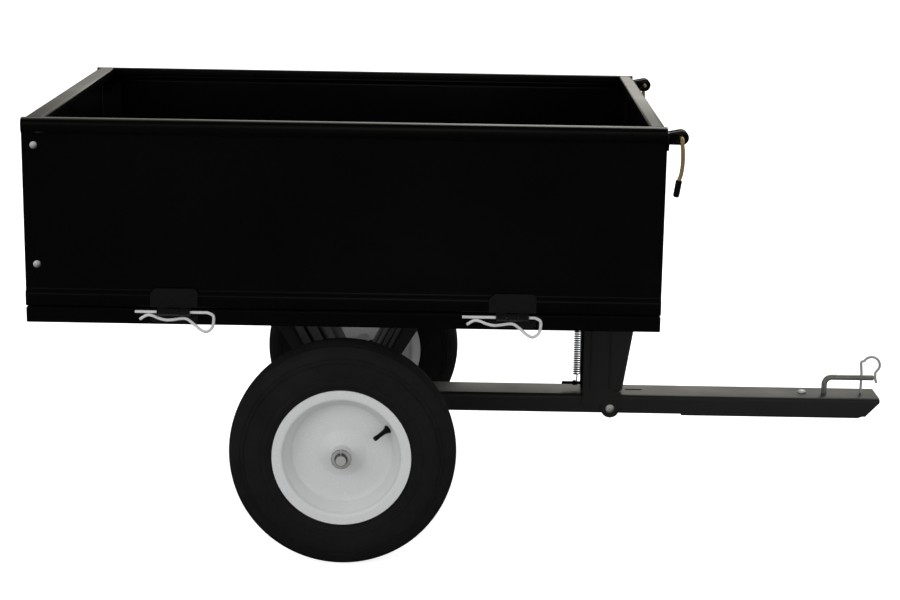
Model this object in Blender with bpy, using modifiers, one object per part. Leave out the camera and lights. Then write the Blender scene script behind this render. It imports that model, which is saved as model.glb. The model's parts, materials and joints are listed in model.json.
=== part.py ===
"""Garden tractor trailer: a steel tipping box on a two-wheel axle with a channel drawbar.

Metres, +Z up, +X towards the tow end, the ground at z = 0. The origin is the bottom centre
of the whole trailer.
"""

import math

import bmesh
import bpy
from mathutils import Matrix, Vector

# Clearances and sheet
GAP = 0.0003
SHEET = 0.002
OVERCUT = 0.01
STEPS_LARGE = 24
STEPS_SMALL = 8
STEPS_BORE = 12

# Wheels and axle
TYRE_RADIUS = 0.200
TYRE_WIDTH = 0.100
TYRE_WALL = 0.007
BEAD_CORNER = 0.0035
TREAD_GROOVES = 8
GROOVE_PITCH = 0.0094
GROOVE_WIDTH = 0.0036
GROOVE_DEPTH = 0.0026
RIM_FLANGE_RADIUS = 0.1215
BEAD_SEAT_RADIUS = 0.1060
RIM_HALF_WIDTH = 0.0460
RIM_SHEET = 0.0025
DISC_RADIUS = 0.0840
DISC_DEPTH = 0.034
DISC_CONE_RADIUS = 0.036
DISC_CONE_RISE = 0.012
WHEEL_CENTRE_Y = 0.378
HUB_RADIUS = 0.017
HUB_INNER = 0.042
HUB_OUTER = 0.047
BUSH_FLANGE = 0.003
BUSH_FLANGE_RADIUS = 0.016
BUSH_WALL = 0.0022
AXLE_RADIUS = 0.010
AXLE_PROUD = 0.0099
AXLE_CLEARANCE = 0.0003
WASHER_RADIUS = 0.018
WASHER_THICKNESS = 0.0025
SPLIT_PIN_WIRE = 0.0016
SPLIT_PIN_INSET = 0.0047
SPLIT_PIN_TAIL = 0.0050
SPLIT_PIN_NECK = 0.0025
SPLIT_EYE_RISE = 0.0055
SPLIT_EYE_INNER = 0.0022
SPLIT_EYE_OUTER = 0.0048
SPLIT_EYE_HALF = 0.0014
VALVE_ANGLE = math.radians(31)
VALVE_LENGTH = 0.032
VALVE_RADIUS = 0.0045
VALVE_BASE_RADIUS = 0.0078
VALVE_SEAT = 0.0009
VALVE_TAIL = 0.006
VALVE_BASE_RISE = 0.0025
VALVE_NECK = 0.008

# Box and bed
BOX_LENGTH = 1.100
BOX_WIDTH = 0.766
BOX_AHEAD = 0.0
BED_UNDERSIDE = 0.4248
BED_SKIRT = 0.0285
RIM_HEIGHT = 0.7808
RAIL_DEPTH = 0.021
BASE_RAIL_DEPTH = 0.0235
RAIL_PROUD = 0.005
RAIL_STEP = 0.005
SIDE_RAIL_WIDTH = 0.022
REAR_RAIL_WIDTH = 0.035
GATE_RAIL_WIDTH = 0.028
RAIL_LIP = 0.012
BEND_RADIUS = 0.003
CORNER_FLANGE = 0.040
CORNER_FLANGE_LAP = 0.004
SIDE_END_INSET = 0.0008
CORNER_BOLT_INSET = 0.021
CORNER_BOLT_RISE = 0.0736
CORNER_BOLT_DROP = 0.0468
CORNER_BOLT_RADIUS = 0.003
CORNER_BOLT_HEAD = 0.0066
GATE_SIDE_GAP = 0.001
GATE_LIFT = 0.0022
GATE_FOOT_FLANGE = 0.012
CROSS_DEPTH = 0.025
CROSS_WIDTH = 0.036
CROSS_FLANGE = 0.014
CROSS_END_GAP = 0.002
CROSS_X = 0.4835

# Axle legs: two pressed plates that stand in a V on the axle
LEG_SPAN = 0.466
LEG_SHEET = 0.003
LEG_FOOT_X = 0.010
LEG_FOOT_RISE = 0.013
LEG_TOP_X = 0.131
LEG_FLANGE_TOP = 0.030
LEG_FLANGE_FOOT = 0.008
LEG_BEADS = (-0.130, 0.0, 0.130)
LEG_BEAD_WIDTH = 0.036
LEG_BEAD_DEPTH = 0.006
LEG_TOP_FLANGE = 0.036
LEG_FLANGE_LAP = 0.004
LEG_BEND = 0.004
LEG_BEAD_TOP = 0.45
LEG_BOLT_SHIFT = 0.004
LEG_BOLT_Y = 0.165
LEG_BOLT_RADIUS = 0.004
LEG_BOLT_HEAD = 0.0085
LEG_NOTCH_RISE = 0.058
LEG_NOTCH_SIDE = 0.006
END_PLATE_SHEET = 0.004
END_PLATE_RISE = 0.046
END_PLATE_HALF = 0.046
END_PLATE_ROUND = 0.026
END_PLATE_DIP = 0.014
END_PLATE_SHOULDER = 0.45

# Drawbar and hitch
DRAWBAR_WIDTH = 0.083
DRAWBAR_HEIGHT = 0.0355
DRAWBAR_TOP = 0.215
DRAWBAR_SHEET = 0.003
DRAWBAR_BEND = 0.007
DRAWBAR_TAIL = 0.030
DRAWBAR_NOSE = 1.0123
NOSE_FACE = 0.0075
NOSE_CHAMFER = 0.0265
SLOT_X = 0.5418
SLOT_LENGTH = 0.034
SLOT_WIDTH = 0.007
STRAP_START = 0.6327
STRAP_END = 0.9834
STRAP_WIDTH = 0.068
STRAP_SHEET = 0.005
STRAP_CORNER = 0.010
STRAP_BOLT_X = 0.8686
STRAP_BOLT_RADIUS = 0.005
STRAP_BOLT_HEAD = 0.0085
STRAP_NUT = 1.0
STRAP_BOLT_TAIL = 0.001
SPACER_WALL = 0.003
HITCH_PIN_X = 0.9113
HITCH_PIN_RADIUS = 0.0055
HITCH_PIN_BELOW = 0.004
HITCH_PIN_BEND_HEIGHT = 0.2465
HITCH_PIN_BEND = 0.014
HITCH_PIN_ARM = 0.0948
HITCH_CLIP_X = 0.9822
HITCH_CLIP_WIRE = 0.0026
HITCH_CLIP_LIFT = 0.0006
HITCH_CLIP_TOP = 0.2905
HITCH_CLIP_RING = 0.0163
HITCH_CLIP_BOW = 0.0017
HITCH_CLIP_NECK = ((0.0, 0.009), (-0.0014, 0.0233), (-0.0014, 0.0313))
HITCH_CLIP_TAIL = ((0.0002, 0.0105), (0.0, 0.0040), (0.0004, -0.0020), (0.0032, -0.0105))

# Prop, tipping latch and its spring
PROP_X = 0.4913
PROP_SHEET = 0.004
PROP_WIDTH = 0.058
PROP_TOP_FLANGE = 0.022
PROP_BEND = 0.004
PROP_TAB_X = 0.4394
PROP_TAB_HEIGHT = 0.024
LATCH_PIVOT_X = 0.4943
LATCH_PIVOT_Z = 0.1884
LATCH_PIVOT_RADIUS = 0.006
LATCH_PIVOT_HEAD = 0.0085
LATCH_SHEET = 0.003
LATCH_LOBE = 0.018
LATCH_REAR_X = 0.4407
LATCH_FRONT_FOOT_X = 0.5182
LATCH_FRONT_TOP_X = 0.5475
LATCH_FOOT_Z = 0.2215
LATCH_SHOULDER_Z = 0.3878
LATCH_HOOK_Z = 0.4123
LATCH_FACET = 0.022
LATCH_RIBS = (0.4558, 0.4925)
LATCH_RIB_RADIUS = 0.0022
LATCH_RIB_SINK = 0.0004
LATCH_RIB_FOOT = 0.006
LATCH_RIB_HEAD = 0.012
LATCH_LAP = 0.004
LATCH_BEND = 0.004
LATCH_NECK_RISE = 0.0305
LATCH_NECK_INSET = 0.007
LATCH_LOBE_ARC = (-203, 20)
LATCH_FACET_DEPTH = 0.0045
LATCH_CORNER = 0.0085
LATCH_CORNER_DEPTH = 0.0165
EAR_RADIUS = 0.006
EAR_FOOT = 0.006
EAR_HEAD = 0.003
STRIKER_X = 0.5235
STRIKER_RADIUS = 0.005
STRIKER_CLEARANCE = 0.0008
STRIKER_LUG_Y = 0.052
STRIKER_LUG_SHEET = 0.004
STRIKER_LUG_RADIUS = 0.0085
STRIKER_LUG_FRONT = 0.009
STRIKER_LUG_REAR = 0.018
STRIKER_LUG_RISE = 0.007
STRIKER_LUG_DROP = 0.001
STRIKER_PROUD = 0.004
SPRING_X = 0.4316
SPRING_RADIUS = 0.0068
SPRING_WIRE = 0.0012
SPRING_PITCH = 0.0044
SPRING_TURNS = 25
SPRING_POINTS_PER_TURN = 8
SPRING_FOOT_Z = 0.2438
SPRING_HOOK = 0.0046
SPRING_TOP_RUN = 0.006
SPRING_LOW_TURN = (-130, -85, -40, 5, 50)
SPRING_HIGH_TURN = (-140, -185, -230, -275, -320)
SPRING_LEAD_IN = ((0.0, 0.0036, 0.0082), (0.0005, 0.0052, 0.0040))
SPRING_LEAD_OUT = (0.0015, 0.0042, 0.0030)
SPRING_LEAD_UP = (0.0030, 0.0020)
ANCHOR_Z = 0.2270
ANCHOR_RADIUS = 0.003
ANCHOR_NUT = 0.0052
ANCHOR_HEAD = 0.004
ANCHOR_TAIL_X = 0.4026
SPRING_PIN_RADIUS = 0.003

# Corner pins that hang the front gate
EYE_AHEAD = 0.0240
EYE_DROP = 0.0170
EYE_LAP = 0.001
EYE_INSET = 0.009
GATE_EYE_INSET = 0.003
EYE_RADIUS = 0.0125
EYE_SHEET = 0.005
EYE_FOOT_HEIGHT = 0.030
EYE_FOOT_SHARE = 0.72
EYE_FOOT_SHEET = 0.003
EYE_FOOT_SINK = 0.0007
CORNER_PIN_RADIUS = 0.0035
CORNER_PIN_INNER_Y = 0.3395
CORNER_PIN_BEND = 0.008
CORNER_PIN_PROUD = 0.006
CORNER_PIN_SET = ((0.0015, 0.020), (0.0020, 0.042), (0.0, 0.060), (-0.0030, 0.070))
CORNER_PIN_TIP = (-0.0045, 0.080)
CAP_GRIP = 0.009
CAP_ROUND = 0.002
CAP_LENGTH = 0.029
CAP_WALL = 0.0016

# Clip brackets along both sides
BRACKET_CENTRES = (-0.2929, 0.2929)
BRACKET_NAMES = ("rear", "front")
KNUCKLE_RADIUS = 0.0065
KNUCKLE_LENGTH = 0.0190
KNUCKLE_Z = 0.4483
LEAF_WIDTH = 0.082
LEAF_SHEET = 0.002
LEAF_TOP = 0.4888
LEAF_BOTTOM = 0.4283
LEAF_CORNER = 0.010
LEAF_NICK = 0.004
CLIP_WIRE = 0.0027
CLIP_STRAIGHT = 0.126
CLIP_LEADS = (0.067, 0.087)
CLIP_WAVE = (
    (0.1350, 0.0048), (0.1362, 0.0150), (0.1330, 0.0270), (0.1240, 0.0340), (0.1145, 0.0312),
    (0.1035, 0.0222), (0.0910, 0.0125), (0.0820, 0.0110), (0.0700, 0.0128), (0.0560, 0.0142),
    (0.0430, 0.0118), (0.0290, 0.0064), (0.0200, 0.0064), (0.0080, 0.0135),
)
RIVET_RADIUS = 0.0028
RIVET_HEIGHT = 0.0018
RIVET_REACH = 0.033
RIVET_SINK = 0.0004
UPPER_RIVET_DROP = 0.0135
LOWER_RIVET_RISE = 0.0065
WEB_LAP = 0.002

# Derived places
AXLE_Z = TYRE_RADIUS
WASHER_FACE_Y = WHEEL_CENTRE_Y + HUB_OUTER + GAP + BUSH_FLANGE + GAP
AXLE_HALF_LENGTH = WASHER_FACE_Y + WASHER_THICKNESS + AXLE_PROUD
EYE_Z = RIM_HEIGHT - EYE_DROP
HITCH_PIN_END = HITCH_PIN_X + HITCH_PIN_ARM
CLIP_RING_X = HITCH_CLIP_X + HITCH_CLIP_RING + HITCH_CLIP_BOW
CLIP_RING_REACH = CLIP_RING_X + HITCH_CLIP_RING + HITCH_CLIP_WIRE
FRONT_REACH = max(DRAWBAR_NOSE, CLIP_RING_REACH)
REAR_REACH = BOX_AHEAD - BOX_LENGTH / 2
AXLE_X = -(FRONT_REACH + REAR_REACH) / 2
BOX_X = AXLE_X + BOX_AHEAD
BOX_HALF = BOX_LENGTH / 2
SIDE_Y = BOX_WIDTH / 2
FLOOR_Z = BED_UNDERSIDE + BED_SKIRT
FLOOR_UNDER = FLOOR_Z - SHEET
CORNER_BOLT_HEIGHTS = (FLOOR_Z + CORNER_BOLT_RISE, RIM_HEIGHT - CORNER_BOLT_DROP)
SIDE_INNER_Y = SIDE_Y - SIDE_RAIL_WIDTH
DRAWBAR_HALF = DRAWBAR_WIDTH / 2
DRAWBAR_UNDER = DRAWBAR_TOP - DRAWBAR_HEIGHT
STRIKER_Z = LATCH_SHOULDER_Z + STRIKER_RADIUS + GAP
KNUCKLE_Y = SIDE_Y + GAP + KNUCKLE_RADIUS
SPRING_TOP_Z = SPRING_FOOT_Z + SPRING_TURNS * SPRING_PITCH
SPRING_PIN_Z = SPRING_TOP_Z + 2 * SPRING_HOOK + SPRING_TOP_RUN
LATCH_INNER_Y = DRAWBAR_HALF + GAP
LATCH_OUTER_Y = LATCH_INNER_Y + LATCH_SHEET
SIDES = (("right", -1), ("left", 1))


def start_scene():
    """Empties the scene and makes the two collections."""
    for obj in list(bpy.data.objects):
        bpy.data.objects.remove(obj, do_unlink=True)
    groups = []
    for name in ("garden_tractor_trailer", "cutters"):
        group = bpy.data.collections.new(name)
        bpy.context.scene.collection.children.link(group)
        groups.append(group)
    return groups


PARTS, CUTTERS = start_scene()


def material(name, colour, roughness, metallic):
    made = bpy.data.materials.new(name)
    made.use_nodes = True
    shader = made.node_tree.nodes["Principled BSDF"]
    shader.inputs["Base Color"].default_value = (*colour, 1.0)
    shader.inputs["Roughness"].default_value = roughness
    shader.inputs["Metallic"].default_value = metallic
    return made


BLACK_PAINT = material("black_paint", (0.012, 0.012, 0.013), 0.28, 0.0)
CHASSIS_PAINT = material("chassis_paint", (0.020, 0.020, 0.019), 0.42, 0.0)
RIM_PAINT = material("rim_paint", (0.62, 0.63, 0.64), 0.32, 0.0)
TYRE_RUBBER = material("tyre_rubber", (0.016, 0.016, 0.016), 0.72, 0.0)
ZINC = material("zinc_plate", (0.62, 0.63, 0.64), 0.34, 1.0)
YELLOW_ZINC = material("yellow_zinc", (0.66, 0.47, 0.22), 0.36, 1.0)
VINYL = material("black_vinyl", (0.012, 0.012, 0.012), 0.55, 0.0)
BUSH_NYLON = material("bush_nylon", (0.05, 0.05, 0.05), 0.50, 0.0)


def at(x, y, z):
    """A world point from a place measured from the axle's middle, on the ground."""
    return Vector((AXLE_X + x, y, z))


def place(obj, paint, cutter=False):
    """Links an object to its collection and gives it its material."""
    if cutter:
        CUTTERS.objects.link(obj)
        obj.hide_render = True
        obj.display_type = "WIRE"
        return obj
    PARTS.objects.link(obj)
    obj.data.materials.append(paint)
    return obj


def mesh_object(name, mesh_maker, paint, cutter=False, smooth=False):
    """Makes an object from a bmesh that the function given fills."""
    mesh = bpy.data.meshes.new(name)
    bm = bmesh.new()
    mesh_maker(bm)
    bmesh.ops.recalc_face_normals(bm, faces=bm.faces)
    bm.to_mesh(mesh)
    bm.free()
    if smooth:
        mesh.shade_smooth()
        mesh.set_sharp_from_angle(angle=math.radians(35))
    return place(bpy.data.objects.new(name, mesh), paint, cutter)


def block(name, low, high, paint=None, cutter=False):
    """A box between two corners."""
    low = Vector(low)
    high = Vector(high)

    def fill(bm):
        size = Matrix.Diagonal((*(high - low), 1.0))
        bmesh.ops.create_cube(bm, size=1.0, matrix=Matrix.Translation((low + high) / 2) @ size)

    return mesh_object(name, fill, paint, cutter)


def aim(start, direction):
    """A matrix whose Z axis runs along the direction, from the start point."""
    turn = Vector((0, 0, 1)).rotation_difference(Vector(direction).normalized())
    return Matrix.Translation(Vector(start)) @ turn.to_matrix().to_4x4()


def bar(name, start, end, radius, paint=None, cutter=False, sides=STEPS_SMALL):
    """A round bar between two points."""
    start = Vector(start)
    end = Vector(end)
    length = (end - start).length
    if cutter:
        radius /= math.cos(math.pi / sides)

    def fill(bm):
        matrix = aim((start + end) / 2, end - start)
        bmesh.ops.create_cone(bm, cap_ends=True, segments=sides, radius1=radius,
                              radius2=radius, depth=length, matrix=matrix)

    return mesh_object(name, fill, paint, cutter, smooth=True)


def turned(name, profile, start, direction, paint=None, steps=STEPS_LARGE, cutter=False):
    """Revolves a closed profile of (radius, along) about the axis. Its ends may lie on the axis."""
    profile = list(profile)
    area = sum(a[0] * b[1] - b[0] * a[1] for a, b in zip(profile, profile[1:] + profile[:1]))
    if area > 0:
        profile.reverse()
    on_axis = [index for index, point in enumerate(profile) if point[0] < 1e-9]
    count = len(profile)
    edges = [(i, (i + 1) % count) for i in range(count)]
    edges = [edge for edge in edges if not (edge[0] in on_axis and edge[1] in on_axis)]
    mesh = bpy.data.meshes.new(name)
    mesh.from_pydata([(radius, 0.0, along) for radius, along in profile], edges, [])
    obj = place(bpy.data.objects.new(name, mesh), paint, cutter)
    obj.matrix_world = aim(start, direction)
    screw = obj.modifiers.new("turn", "SCREW")
    screw.angle = 2 * math.pi
    screw.steps = steps
    screw.render_steps = steps
    screw.use_merge_vertices = True
    screw.merge_threshold = 0.00001
    screw.use_smooth_shade = True
    return obj


def baked(obj):
    """Turns a curve or an object with modifiers into a plain welded mesh object."""
    bpy.context.view_layer.update()
    graph = bpy.context.evaluated_depsgraph_get()
    mesh = bpy.data.meshes.new_from_object(obj.evaluated_get(graph))
    bm = bmesh.new()
    bm.from_mesh(mesh)
    bmesh.ops.remove_doubles(bm, verts=bm.verts, dist=0.000005)
    bmesh.ops.recalc_face_normals(bm, faces=bm.faces)
    bm.to_mesh(mesh)
    bm.free()
    mesh.shade_smooth()
    mesh.set_sharp_from_angle(angle=math.radians(35))
    name = obj.name
    group = obj.users_collection[0]
    matrix = obj.matrix_world.copy()
    bpy.data.objects.remove(obj, do_unlink=True)
    made = bpy.data.objects.new(name, mesh)
    made.matrix_world = matrix
    group.objects.link(made)
    if group == CUTTERS:
        made.hide_render = True
        made.display_type = "WIRE"
    return made


def plate(name, outline, thickness, matrix, paint=None, holes=(), cutter=False):
    """A flat outline with holes, half its thickness each side of the matrix's XY plane."""
    curve = bpy.data.curves.new(name, "CURVE")
    curve.dimensions = "2D"
    curve.fill_mode = "BOTH"
    curve.extrude = thickness / 2
    for points in [outline, *holes]:
        spline = curve.splines.new("POLY")
        spline.points.add(len(points) - 1)
        for target, (u, v) in zip(spline.points, points):
            target.co = (u, v, 0.0, 1.0)
        spline.use_cyclic_u = True
    obj = place(bpy.data.objects.new(name, curve), paint, cutter)
    obj.matrix_world = matrix
    return baked(obj)


def wire(name, points, radius, paint, resolution=1):
    """A round wire with closed ends along the points."""
    curve = bpy.data.curves.new(name, "CURVE")
    curve.dimensions = "3D"
    curve.bevel_depth = radius
    curve.bevel_resolution = resolution
    curve.use_fill_caps = True
    spline = curve.splines.new("POLY")
    spline.points.add(len(points) - 1)
    for target, point in zip(spline.points, points):
        target.co = (*point, 1.0)
    spline.use_smooth = True
    return place(bpy.data.objects.new(name, curve), paint)


def arc(centre, radius, start, end, steps):
    """Points on a circle in a plane, angles in degrees."""
    points = []
    for index in range(steps + 1):
        angle = math.radians(start + (end - start) * index / steps)
        points.append((centre[0] + radius * math.cos(angle), centre[1] + radius * math.sin(angle)))
    return points


def circle(centre, radius, steps=STEPS_SMALL):
    """A closed ring of points whose flats lie outside the true circle."""
    fitted = radius / math.cos(math.pi / steps)
    return arc(centre, fitted, 180 / steps, 360 + 180 / steps, steps)[:-1]


def smooth_path(points, per_span=4):
    """Points on a curve that passes smoothly through the ones given."""
    knots = [Vector(point) for point in points]
    knots = [2 * knots[0] - knots[1], *knots, 2 * knots[-1] - knots[-2]]
    path = []
    for a, b, c, d in zip(knots, knots[1:], knots[2:], knots[3:]):
        for index in range(per_span):
            t = index / per_span
            path.append(0.5 * (2 * b + (c - a) * t + (2 * a - 5 * b + 4 * c - d) * t ** 2
                               + (3 * b - a - 3 * c + d) * t ** 3))
    path.append(knots[-2])
    return path


def rounded(points, radius, steps=1):
    """An open path in a plane with its inner corners rounded."""
    path = [Vector(points[0])]
    for before, corner, after in zip(points, points[1:], points[2:]):
        corner = Vector(corner)
        back = Vector(before) - corner
        ahead = Vector(after) - corner
        reach = min(radius, 0.45 * back.length, 0.45 * ahead.length)
        if reach < 1e-6:
            path.append(corner)
            continue
        enter = corner + back.normalized() * reach
        leave = corner + ahead.normalized() * reach
        for index in range(steps + 1):
            t = index / steps
            path.append(enter * (1 - t) ** 2 + corner * 2 * t * (1 - t) + leave * t ** 2)
    path.append(Vector(points[-1]))
    return path


def sheet_outline(points, thickness, radius=BEND_RADIUS, steps=1):
    """The closed outline of a sheet folded along an open path down its middle."""
    path = rounded(points, radius, steps)
    left = []
    right = []
    for index, point in enumerate(path):
        before = path[max(index - 1, 0)]
        after = path[min(index + 1, len(path) - 1)]
        lead = (point - before).normalized() if index else (after - point).normalized()
        trail = (after - point).normalized() if index < len(path) - 1 else lead
        normal = Vector((-(lead + trail).y, (lead + trail).x)).normalized()
        half = thickness / 2 / max(normal.dot(Vector((-lead.y, lead.x))), 0.3)
        left.append(tuple(point + normal * half))
        right.append(tuple(point - normal * half))
    return left + right[::-1]


def folded(name, points, thickness, matrix, length, paint=None, radius=BEND_RADIUS, steps=1):
    """A folded sheet: a path across it in the matrix's XY plane, drawn out along its Z."""
    outline = sheet_outline(points, thickness, radius, steps)
    return plate(name, outline, length, matrix, paint)


def loft(name, first, second, paint=None):
    """A solid between two closed outlines of as many points, given as world points."""

    def fill(bm):
        rings = [[bm.verts.new(point) for point in ring] for ring in (first, second)]
        count = len(first)
        for index in range(count):
            after = (index + 1) % count
            bm.faces.new((rings[0][index], rings[0][after], rings[1][after], rings[1][index]))
        bm.faces.new(rings[0][::-1])
        bm.faces.new(rings[1])

    return mesh_object(name, fill, paint)


def combine(target, others, operation="UNION"):
    """Joins the others into the target, or cuts them from it, and keeps one plain mesh."""
    for other in others:
        change = target.modifiers.new(other.name, "BOOLEAN")
        change.operation = operation
        change.solver = "EXACT"
        change.object = other
    made = baked(target)
    for other in others:
        bpy.data.objects.remove(other, do_unlink=True)
    return made


def cut(target, cutters):
    """Cuts the cutters, which stay in their collection, from the target."""
    for cutter in cutters:
        change = target.modifiers.new(cutter.name, "BOOLEAN")
        change.operation = "DIFFERENCE"
        change.solver = "EXACT"
        change.object = cutter
    return target


def plane_yz(x):
    """Local X is world Y and local Y is world Z, with the sheet's normal along world X."""
    return Matrix(((0, 0, 1, x), (1, 0, 0, 0), (0, 1, 0, 0), (0, 0, 0, 1)))


def plane_xz(y):
    """Local X is world X and local Y is world Z, with the sheet's normal along world -Y."""
    return Matrix(((1, 0, 0, 0), (0, 0, -1, y), (0, 1, 0, 0), (0, 0, 0, 1)))


def plane_xy(z):
    """Local X and Y are the world's, with the sheet's normal up."""
    return Matrix.Translation((0, 0, z))


def domed_head(name, start, direction, radius, height, paint=None, steps=STEPS_SMALL):
    """A low round rivet or carriage bolt head that stands on a face."""
    profile = [(0.0, 0.0), (radius, 0.0), (radius * 0.70, height * 0.80), (0.0, height)]
    return turned(name, profile, start, direction, paint, steps)


def bolt(name, head_at, nut_at, radius, head_radius, nut_share=1.7, tail=0.003):
    """A domed bolt with its head's seat at one point and its nut's seat at the other."""
    head_at = Vector(head_at)
    nut_at = Vector(nut_at)
    way = (nut_at - head_at).normalized()
    grip = (nut_at - head_at).length
    head_height = head_radius * 0.62
    nut_height = radius * nut_share
    nut_radius = radius * 1.85
    profile = [(0.0, -head_height), (head_radius * 0.65, -head_height * 0.80),
               (head_radius, 0.0), (radius, 0.0), (radius, grip), (nut_radius, grip),
               (nut_radius, grip + nut_height), (radius, grip + nut_height),
               (radius, grip + nut_height + tail), (0.0, grip + nut_height + tail)]
    return turned(name, profile, head_at, way, ZINC, STEPS_SMALL)


# Wheels


def tyre_profile():
    """The tyre's section as (radius, along the axle), a ribbed tread over rounded walls."""
    half = TYRE_WIDTH / 2
    crown = TYRE_RADIUS
    lip = RIM_HALF_WIDTH - RIM_SHEET - GAP
    seat = BEAD_SEAT_RADIUS + GAP * 2
    side = [(seat, lip - BEAD_CORNER), (seat + BEAD_CORNER, lip),
            (RIM_FLANGE_RADIUS + 0.002, lip), (crown - 0.0670, half * 0.965),
            (crown - 0.0440, half), (crown - 0.0220, half * 0.95), (crown - 0.0085, half * 0.80)]

    def crown_radius(along):
        return crown - 0.0042 * (along / (half * 0.72)) ** 2

    tread = []
    first = -(TREAD_GROOVES - 1) / 2 * GROOVE_PITCH
    for index in range(TREAD_GROOVES):
        centre = -(first + index * GROOVE_PITCH)
        for shift, depth in ((0.5, 0.0), (0.0, GROOVE_DEPTH), (-0.5, 0.0)):
            along = centre + shift * GROOVE_WIDTH
            tread.append((crown_radius(along) - depth, along))
    outer = side + tread + [(radius, -along) for radius, along in reversed(side)]
    inner = [(seat, lip * 0.62), (crown - 0.0600, half - TYRE_WALL),
             (crown - 0.0260, half - TYRE_WALL * 1.5), (crown - TYRE_WALL - 0.004, half * 0.36)]
    return outer + [(radius, -along) for radius, along in inner] + inner[::-1]


def rim_barrel_path():
    """The middle of the rim's rolled barrel, from the inner flange to the outer one."""
    edge = RIM_HALF_WIDTH - RIM_SHEET / 2
    seat = BEAD_SEAT_RADIUS - RIM_SHEET / 2
    well = DISC_RADIUS + RIM_SHEET / 2
    disc = RIM_HALF_WIDTH - DISC_DEPTH
    return [(RIM_FLANGE_RADIUS, -edge), (seat, -edge), (seat - 0.002, -edge + 0.016),
            (well, -edge + 0.026), (well, disc - 0.002), (seat - 0.002, edge - 0.008),
            (seat, edge), (RIM_FLANGE_RADIUS, edge)]


def disc_path():
    """The middle of the wheel disc, from the barrel in to the hub."""
    disc = RIM_HALF_WIDTH - DISC_DEPTH
    return [(DISC_RADIUS + RIM_SHEET, disc), (DISC_CONE_RADIUS + 0.006, disc),
            (DISC_CONE_RADIUS, disc + 0.002), (HUB_RADIUS - 0.001, disc + DISC_CONE_RISE)]


def wheel_valve(side, centre):
    """The valve's seat on the sloping barrel wall and the way it points."""
    path = rim_barrel_path()
    low = Vector(path[4])
    high = Vector(path[5])
    spot = low.lerp(high, 0.56)
    slope = (high - low).normalized()
    normal = Vector((-slope.y, slope.x))
    if normal.x > 0:
        normal = -normal
    radial = Vector((math.cos(VALVE_ANGLE), 0, math.sin(VALVE_ANGLE)))
    axle = Vector((0, side, 0))
    seat = centre + radial * spot.x + axle * spot.y
    return seat, radial * normal.x + axle * normal.y


def make_wheel(label, side):
    """One wheel: tyre, pressed rim with its welded hub tube, bush and valve."""
    centre = at(0, side * WHEEL_CENTRE_Y, AXLE_Z)
    way = (0, side, 0)
    turned(f"tyre_{label}", tyre_profile(), centre, way, TYRE_RUBBER)
    rim = turned(f"rim_{label}", sheet_outline(rim_barrel_path(), RIM_SHEET, 0.0), centre, way,
                 RIM_PAINT)
    disc = turned(f"disc_{label}", sheet_outline(disc_path(), RIM_SHEET, 0.0), centre, way,
                  RIM_PAINT)
    bush_outer = AXLE_RADIUS + AXLE_CLEARANCE + BUSH_WALL
    bore = bush_outer + GAP
    hub = turned(f"hub_{label}", [(bore, -HUB_INNER), (HUB_RADIUS, -HUB_INNER),
                                  (HUB_RADIUS, HUB_OUTER), (bore, HUB_OUTER)],
                 centre, way, RIM_PAINT, STEPS_BORE)
    rim = combine(baked(rim), [baked(disc), baked(hub)])
    seat, out = wheel_valve(side, centre)
    hole = bar(f"valve_hole_{label}", seat - out * OVERCUT, seat + out * OVERCUT,
               VALVE_RADIUS + GAP, cutter=True)
    cut(rim, [hole])
    start = seat + out * (RIM_SHEET / 2 + VALVE_SEAT)
    profile = [(0.0, -VALVE_TAIL), (VALVE_RADIUS, -VALVE_TAIL), (VALVE_RADIUS, 0.0),
               (VALVE_BASE_RADIUS, 0.0), (VALVE_BASE_RADIUS * 0.85, VALVE_BASE_RISE),
               (VALVE_RADIUS, VALVE_NECK), (VALVE_RADIUS * 0.82, VALVE_LENGTH * 0.72),
               (VALVE_RADIUS * 0.95, VALVE_LENGTH * 0.76), (VALVE_RADIUS * 0.9, VALVE_LENGTH),
               (0.0, VALVE_LENGTH)]
    turned(f"valve_{label}", profile, start, out, TYRE_RUBBER, STEPS_SMALL)
    face = HUB_OUTER + GAP
    bore = AXLE_RADIUS + AXLE_CLEARANCE
    profile = [(bore, -HUB_INNER), (bush_outer, -HUB_INNER), (bush_outer, face),
               (BUSH_FLANGE_RADIUS, face), (BUSH_FLANGE_RADIUS, face + BUSH_FLANGE),
               (bore, face + BUSH_FLANGE)]
    turned(f"hub_bush_{label}", profile, centre, way, BUSH_NYLON, STEPS_BORE)


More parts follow.
